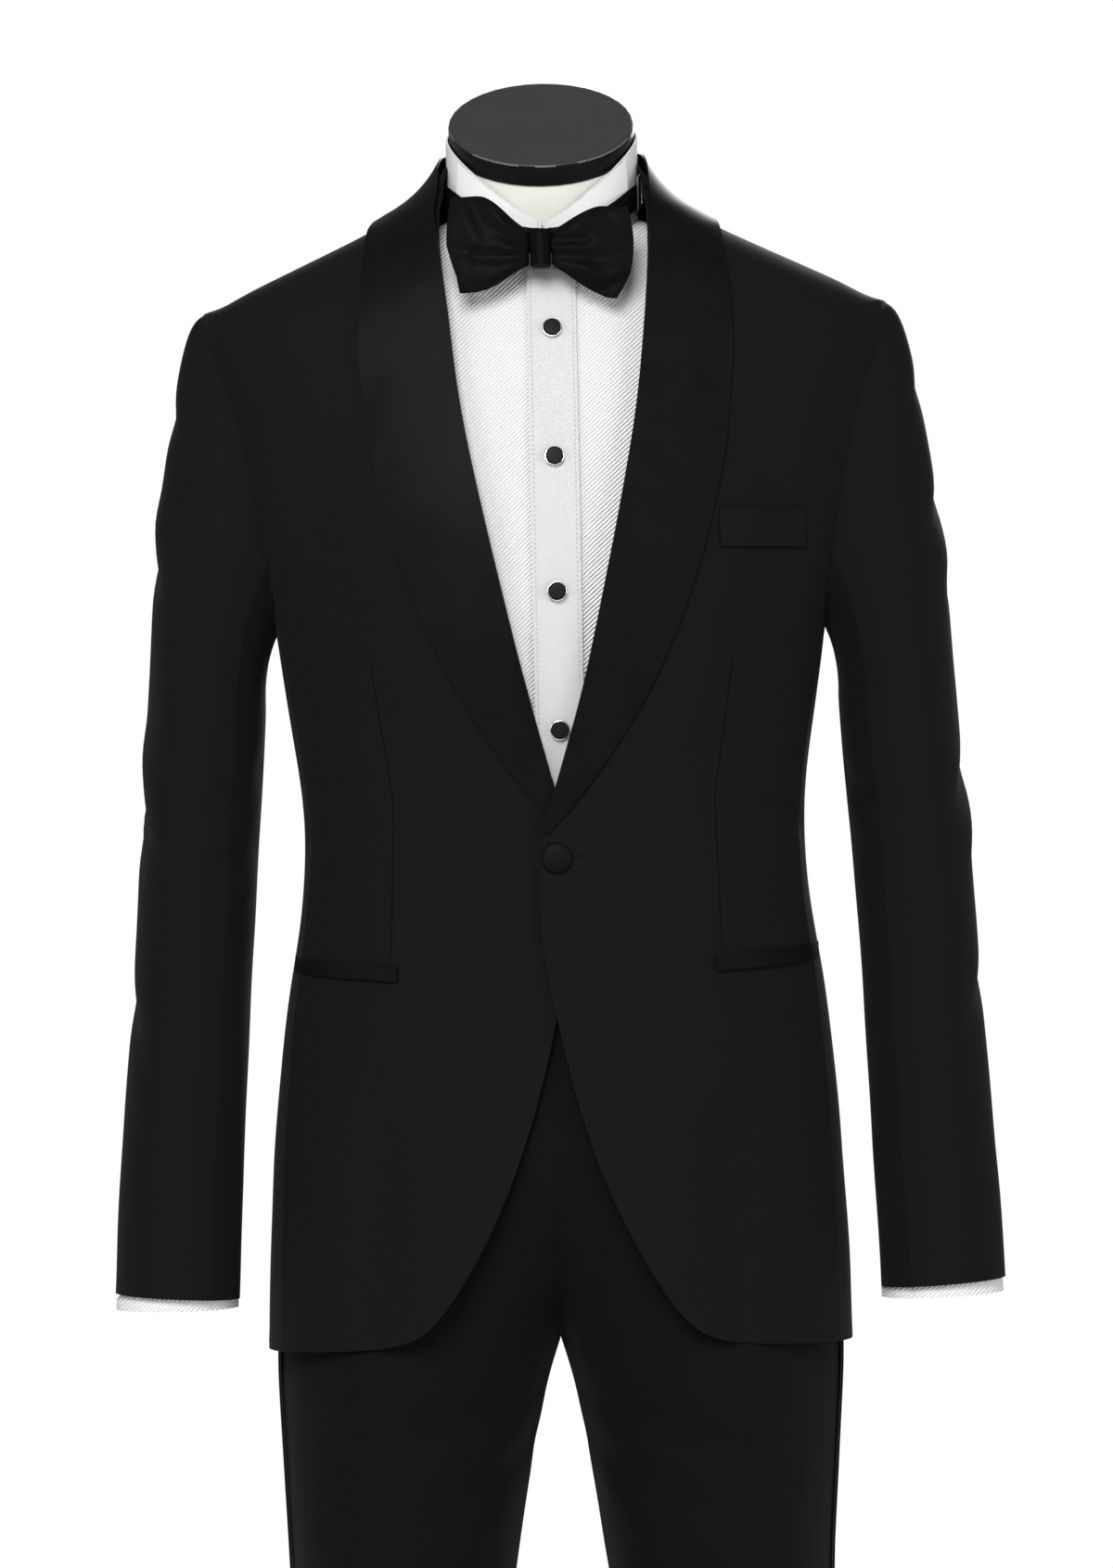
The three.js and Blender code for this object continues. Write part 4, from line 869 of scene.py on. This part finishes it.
def set_in(jet, drop):
    """Lowers a pocket jet and sinks its outer end into the cloth, where the side seam takes it."""
    sink_start, sink_length, sink_depth = 0.138, 0.03, 0.0017
    points = read_points(jet)
    at_side = np.clip((np.abs(points[:, 0]) - sink_start) / sink_length, 0, 1)
    points[:, 0] -= np.sign(points[:, 0]) * sink_depth * at_side
    points[:, 2] -= drop
    write_points(jet, points)


jet_satin = black_satin("jet_satin", 0.6)
jet_drops = {"left": 0.001, "right": 0.004}
sleeve_hem_slope = 0.062
jacket_cut = [
    # node, levels, width, length, area, how it is held, what it lies on
    ("jacket_front", 3, 0.235, 0.75, 0.1312, "hung", "shirt_front"),
    ("jacket_side", 3, 0.094, 0.51, 0.0402, "hung", "jacket_front"),
    ("jacket_back", 3, 0.262, 0.75, 0.1563, "hung", "jacket_front"),
    ("sleeve_top", 3, 0.215, 0.64, 0.1118, "hung", "jacket_front"),
    ("sleeve_under", 3, 0.128, 0.5, 0.052, "hung", "jacket_side"),
    ("shawl_collar", 3, 0.085, 0.56, 0.0321, "folded", "jacket_front"),
    ("pocket_jet", 3, 0.113, 0.012, 0.0013, "stretched", "jacket_front"),
]
trims = ("shawl_collar", "pocket_jet")
shell = []
for side in ("left", "right"):
    cloths = {
        "jacket_front": darted[side],
        "jacket_back": back_wool,
        "shawl_collar": satin,
        "pocket_jet": jet_satin,
    }
    for node, levels, width, length, area, held, lies_on in jacket_cut:
        whole = f"{node}_{side}"
        piece = cut_from(whole, whole + "_cloth", levels)
        if node.startswith("sleeve"):
            drape(piece, arm_folds[side], round_sleeve, 0.0009, off_armhole)
            tilt_hem(piece, sleeve_hem_slope)
        else:
            drape(piece, body_folds, fade=None if node in trims else off_armhole)
        shape_jacket(piece)
        if node == "pocket_jet":
            set_in(piece, jet_drops[side])
        if node not in trims:
            shell.append(piece)
        put_on(piece, cloths.get(node, wool), "satin" if node in trims else "wool", whole)
close_seams(shell)

single_cut = [
    ("collar_stand", 2, 0.335, 0.029, 0.0094, "folded", "jacket_back_left"),
    ("breast_welt", 3, 0.067, 0.026, 0.0017, "stretched", "jacket_front_left"),
]
for node, levels, width, length, area, held, lies_on in single_cut:
    piece = cut_from(node, node + "_cloth", levels)
    drape(piece, body_folds)
    shape_jacket(piece)
    put_on(piece, wool, "wool", node)

# The one button is a dome covered in the collar's satin. Its thread buttonhole lies beside it on
# the left front, worked in close black stitches.
button = cut_from("jacket_button", "covered_button", 2, 80)
drape(button, body_folds)
put_on(button, black_satin("button_satin", 0.45), "satin", "jacket_button")

thread, tree, surface = new_material("black_thread", {"Roughness": 0.7, "Specular IOR Level": 0.1})
turns = ribs_on(tree, "X", 450)
thread_black = mixed(tree, turns, (0.0008, 0.0008, 0.0009), (0.005, 0.005, 0.0055))
tree.links.new(thread_black, surface.inputs["Base Color"])
raised(tree, surface, turns, 0.8, 0.0003)
buttonhole = new_piece(
    "worked_buttonhole",
    bpy.ops.mesh.primitive_torus_add,
    major_radius=0.0011,
    minor_radius=0.0006,
    major_segments=32,
    minor_segments=12,
)
half_slit = 0.0042
drawn_out = read_points(buttonhole)
drawn_out[:, 0] += half_slit * np.sign(np.round(drawn_out[:, 0], 6))
write_points(buttonhole, drawn_out)
left_front = bpy.data.objects["jacket_front_left_cloth"]
bpy.context.view_layer.update()
in_front_of_slit, backwards = (0.0165, -0.3, 1.1435), (0, 1, 0)
_, spot, facing, _ = left_front.ray_cast(in_front_of_slit, backwards)
buttonhole.location = spot
buttonhole.rotation_euler = facing.to_track_quat("Z", "Y").to_euler()
bpy.ops.object.transform_apply(location=True, rotation=True, scale=True)
bpy.ops.object.shade_smooth()
buttonhole.data.materials.append(thread)
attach(buttonhole, "root")


# The bow is ready tied: two folded wings of satin, pleated where they go into the knot, on a band
# that goes round the collar and is set to length by a slide on the wearer's left.
def pleat(obj, folds):
    """Lays folds into a bow wing: each row is two places across and up from the knot, a width and
    a depth, all in metres, and the depth is towards the front. Then it makes the wings unequal."""
    knot_x, knot_y, knot_z, tilt, lean, back_share = -0.002, -0.086, 1.531, 0.04, 0.16, 0.35
    right_trim, right_hump, left_dip, low_bulge = 0.005, 0.0045, 0.0035, 0.0025
    points = read_points(obj)
    across = points[:, 0] - knot_x
    up = points[:, 2] - knot_z + across * tilt
    front = points[:, 1] < knot_y + up * lean
    push = fold_depth(across, up, folds, 1.0)
    points[:, 1] -= push * np.where(front, 1.0, back_share)
    high, low = np.clip(up / 0.02, 0, 1), np.clip(-up / 0.02, 0, 1)
    points[:, 0] += right_trim * low * np.clip((-across - 0.03) / 0.03, 0, 1)
    points[:, 2] += right_hump * high * np.exp(-(((across + 0.033) / 0.013) ** 2))
    points[:, 2] -= left_dip * high * np.exp(-(((across - 0.052) / 0.012) ** 2))
    points[:, 2] -= low_bulge * low * np.exp(-(((np.abs(across) - 0.035) / 0.014) ** 2))
    write_points(obj, points)


wing_folds = {
    "right": [
        # x, height, x, height, width, depth
        (-0.008, -0.0015, -0.024, -0.0030, 0.0035, 0.0025),
        (-0.008, -0.0055, -0.042, -0.0060, 0.0042, -0.0041),
        (-0.042, -0.0060, -0.062, -0.0010, 0.0048, -0.0021),
        (-0.008, 0.0022, -0.028, 0.0080, 0.0038, -0.0039),
        (-0.022, 0.0110, -0.030, 0.0240, 0.0056, 0.0025),
        (-0.034, 0.0060, -0.044, 0.0250, 0.0048, -0.0023),
        (-0.040, 0.0000, -0.050, 0.0220, 0.0048, 0.0014),
        (-0.010, -0.0090, -0.030, -0.0200, 0.0048, 0.0021),
        (-0.020, -0.0190, -0.034, -0.0270, 0.0042, -0.0021),
        (-0.050, -0.0100, -0.056, -0.0280, 0.0064, 0.0016),
    ],
    "left": [
        (0.008, 0.0000, 0.024, 0.0010, 0.0035, 0.0025),
        (0.008, 0.0035, 0.028, 0.0050, 0.0038, -0.0039),
        (0.008, -0.0045, 0.034, -0.0060, 0.0042, -0.0041),
        (0.034, -0.0060, 0.060, -0.0020, 0.0048, -0.0018),
        (0.020, 0.0140, 0.034, 0.0220, 0.0054, 0.0025),
        (0.030, 0.0090, 0.044, 0.0220, 0.0048, -0.0023),
        (0.026, -0.0110, 0.036, -0.0150, 0.0042, 0.0023),
        (0.022, -0.0170, 0.040, -0.0240, 0.0042, -0.0023),
        (0.036, -0.0200, 0.060, -0.0100, 0.0048, 0.0021),
        (0.034, -0.0250, 0.058, -0.0170, 0.0038, -0.0018),
    ],
}
bow_satin = black_satin("bow_satin", 0.4, 0.012)
for side in ("left", "right"):
    piece = cut_from(f"bow_wing_{side}", f"bow_{side}_wing", 3, 70)
    pleat(piece, wing_folds[side])
    put_on(piece, bow_satin, "satin", f"bow_wing_{side}")

knot = cut_from("bow_knot", "bow_middle", 2, 60)
pleat(
    knot,
    [
        (-0.0045, 0.014, -0.0035, -0.012, 0.0012, -0.0009),
        (0.0030, 0.014, 0.0040, -0.012, 0.0012, -0.0008),
        (-0.0060, 0.0095, 0.0060, 0.0085, 0.0014, -0.0010),
    ],
)
put_on(knot, bow_satin, "satin", "bow_knot")
neck_band = cut_from("bow_band", "neck_band", 2)
put_on(neck_band, bow_satin, "satin", "bow_band")

# The slide is a flat loop of black enamelled metal: its two broad faces are set in and joined
# through, so that the band can pass.
enamel, tree, surface = new_material("black_enamel", {"Roughness": 0.3})
chipped_black = mixed(tree, noise_on(tree, 500), (0.006, 0.006, 0.006), (0.03, 0.03, 0.03))
tree.links.new(chipped_black, surface.inputs["Base Color"])
slide = cut_from("band_slide", "band_slide_loop", 0)
broad_face, wire_width = 0.00005, 0.0021
bpy.ops.object.mode_set(mode="EDIT")
bpy.ops.mesh.select_mode(type="FACE")
bpy.ops.mesh.select_all(action="DESELECT")
bpy.ops.object.mode_set(mode="OBJECT")
for face in slide.data.polygons:
    face.select = face.area > broad_face
bpy.ops.object.mode_set(mode="EDIT")
bpy.ops.mesh.inset(thickness=wire_width, depth=0)
bpy.ops.mesh.bridge_edge_loops()
round_edges(0.0003, 3)
put_on(slide, enamel, "slide", "band_slide")
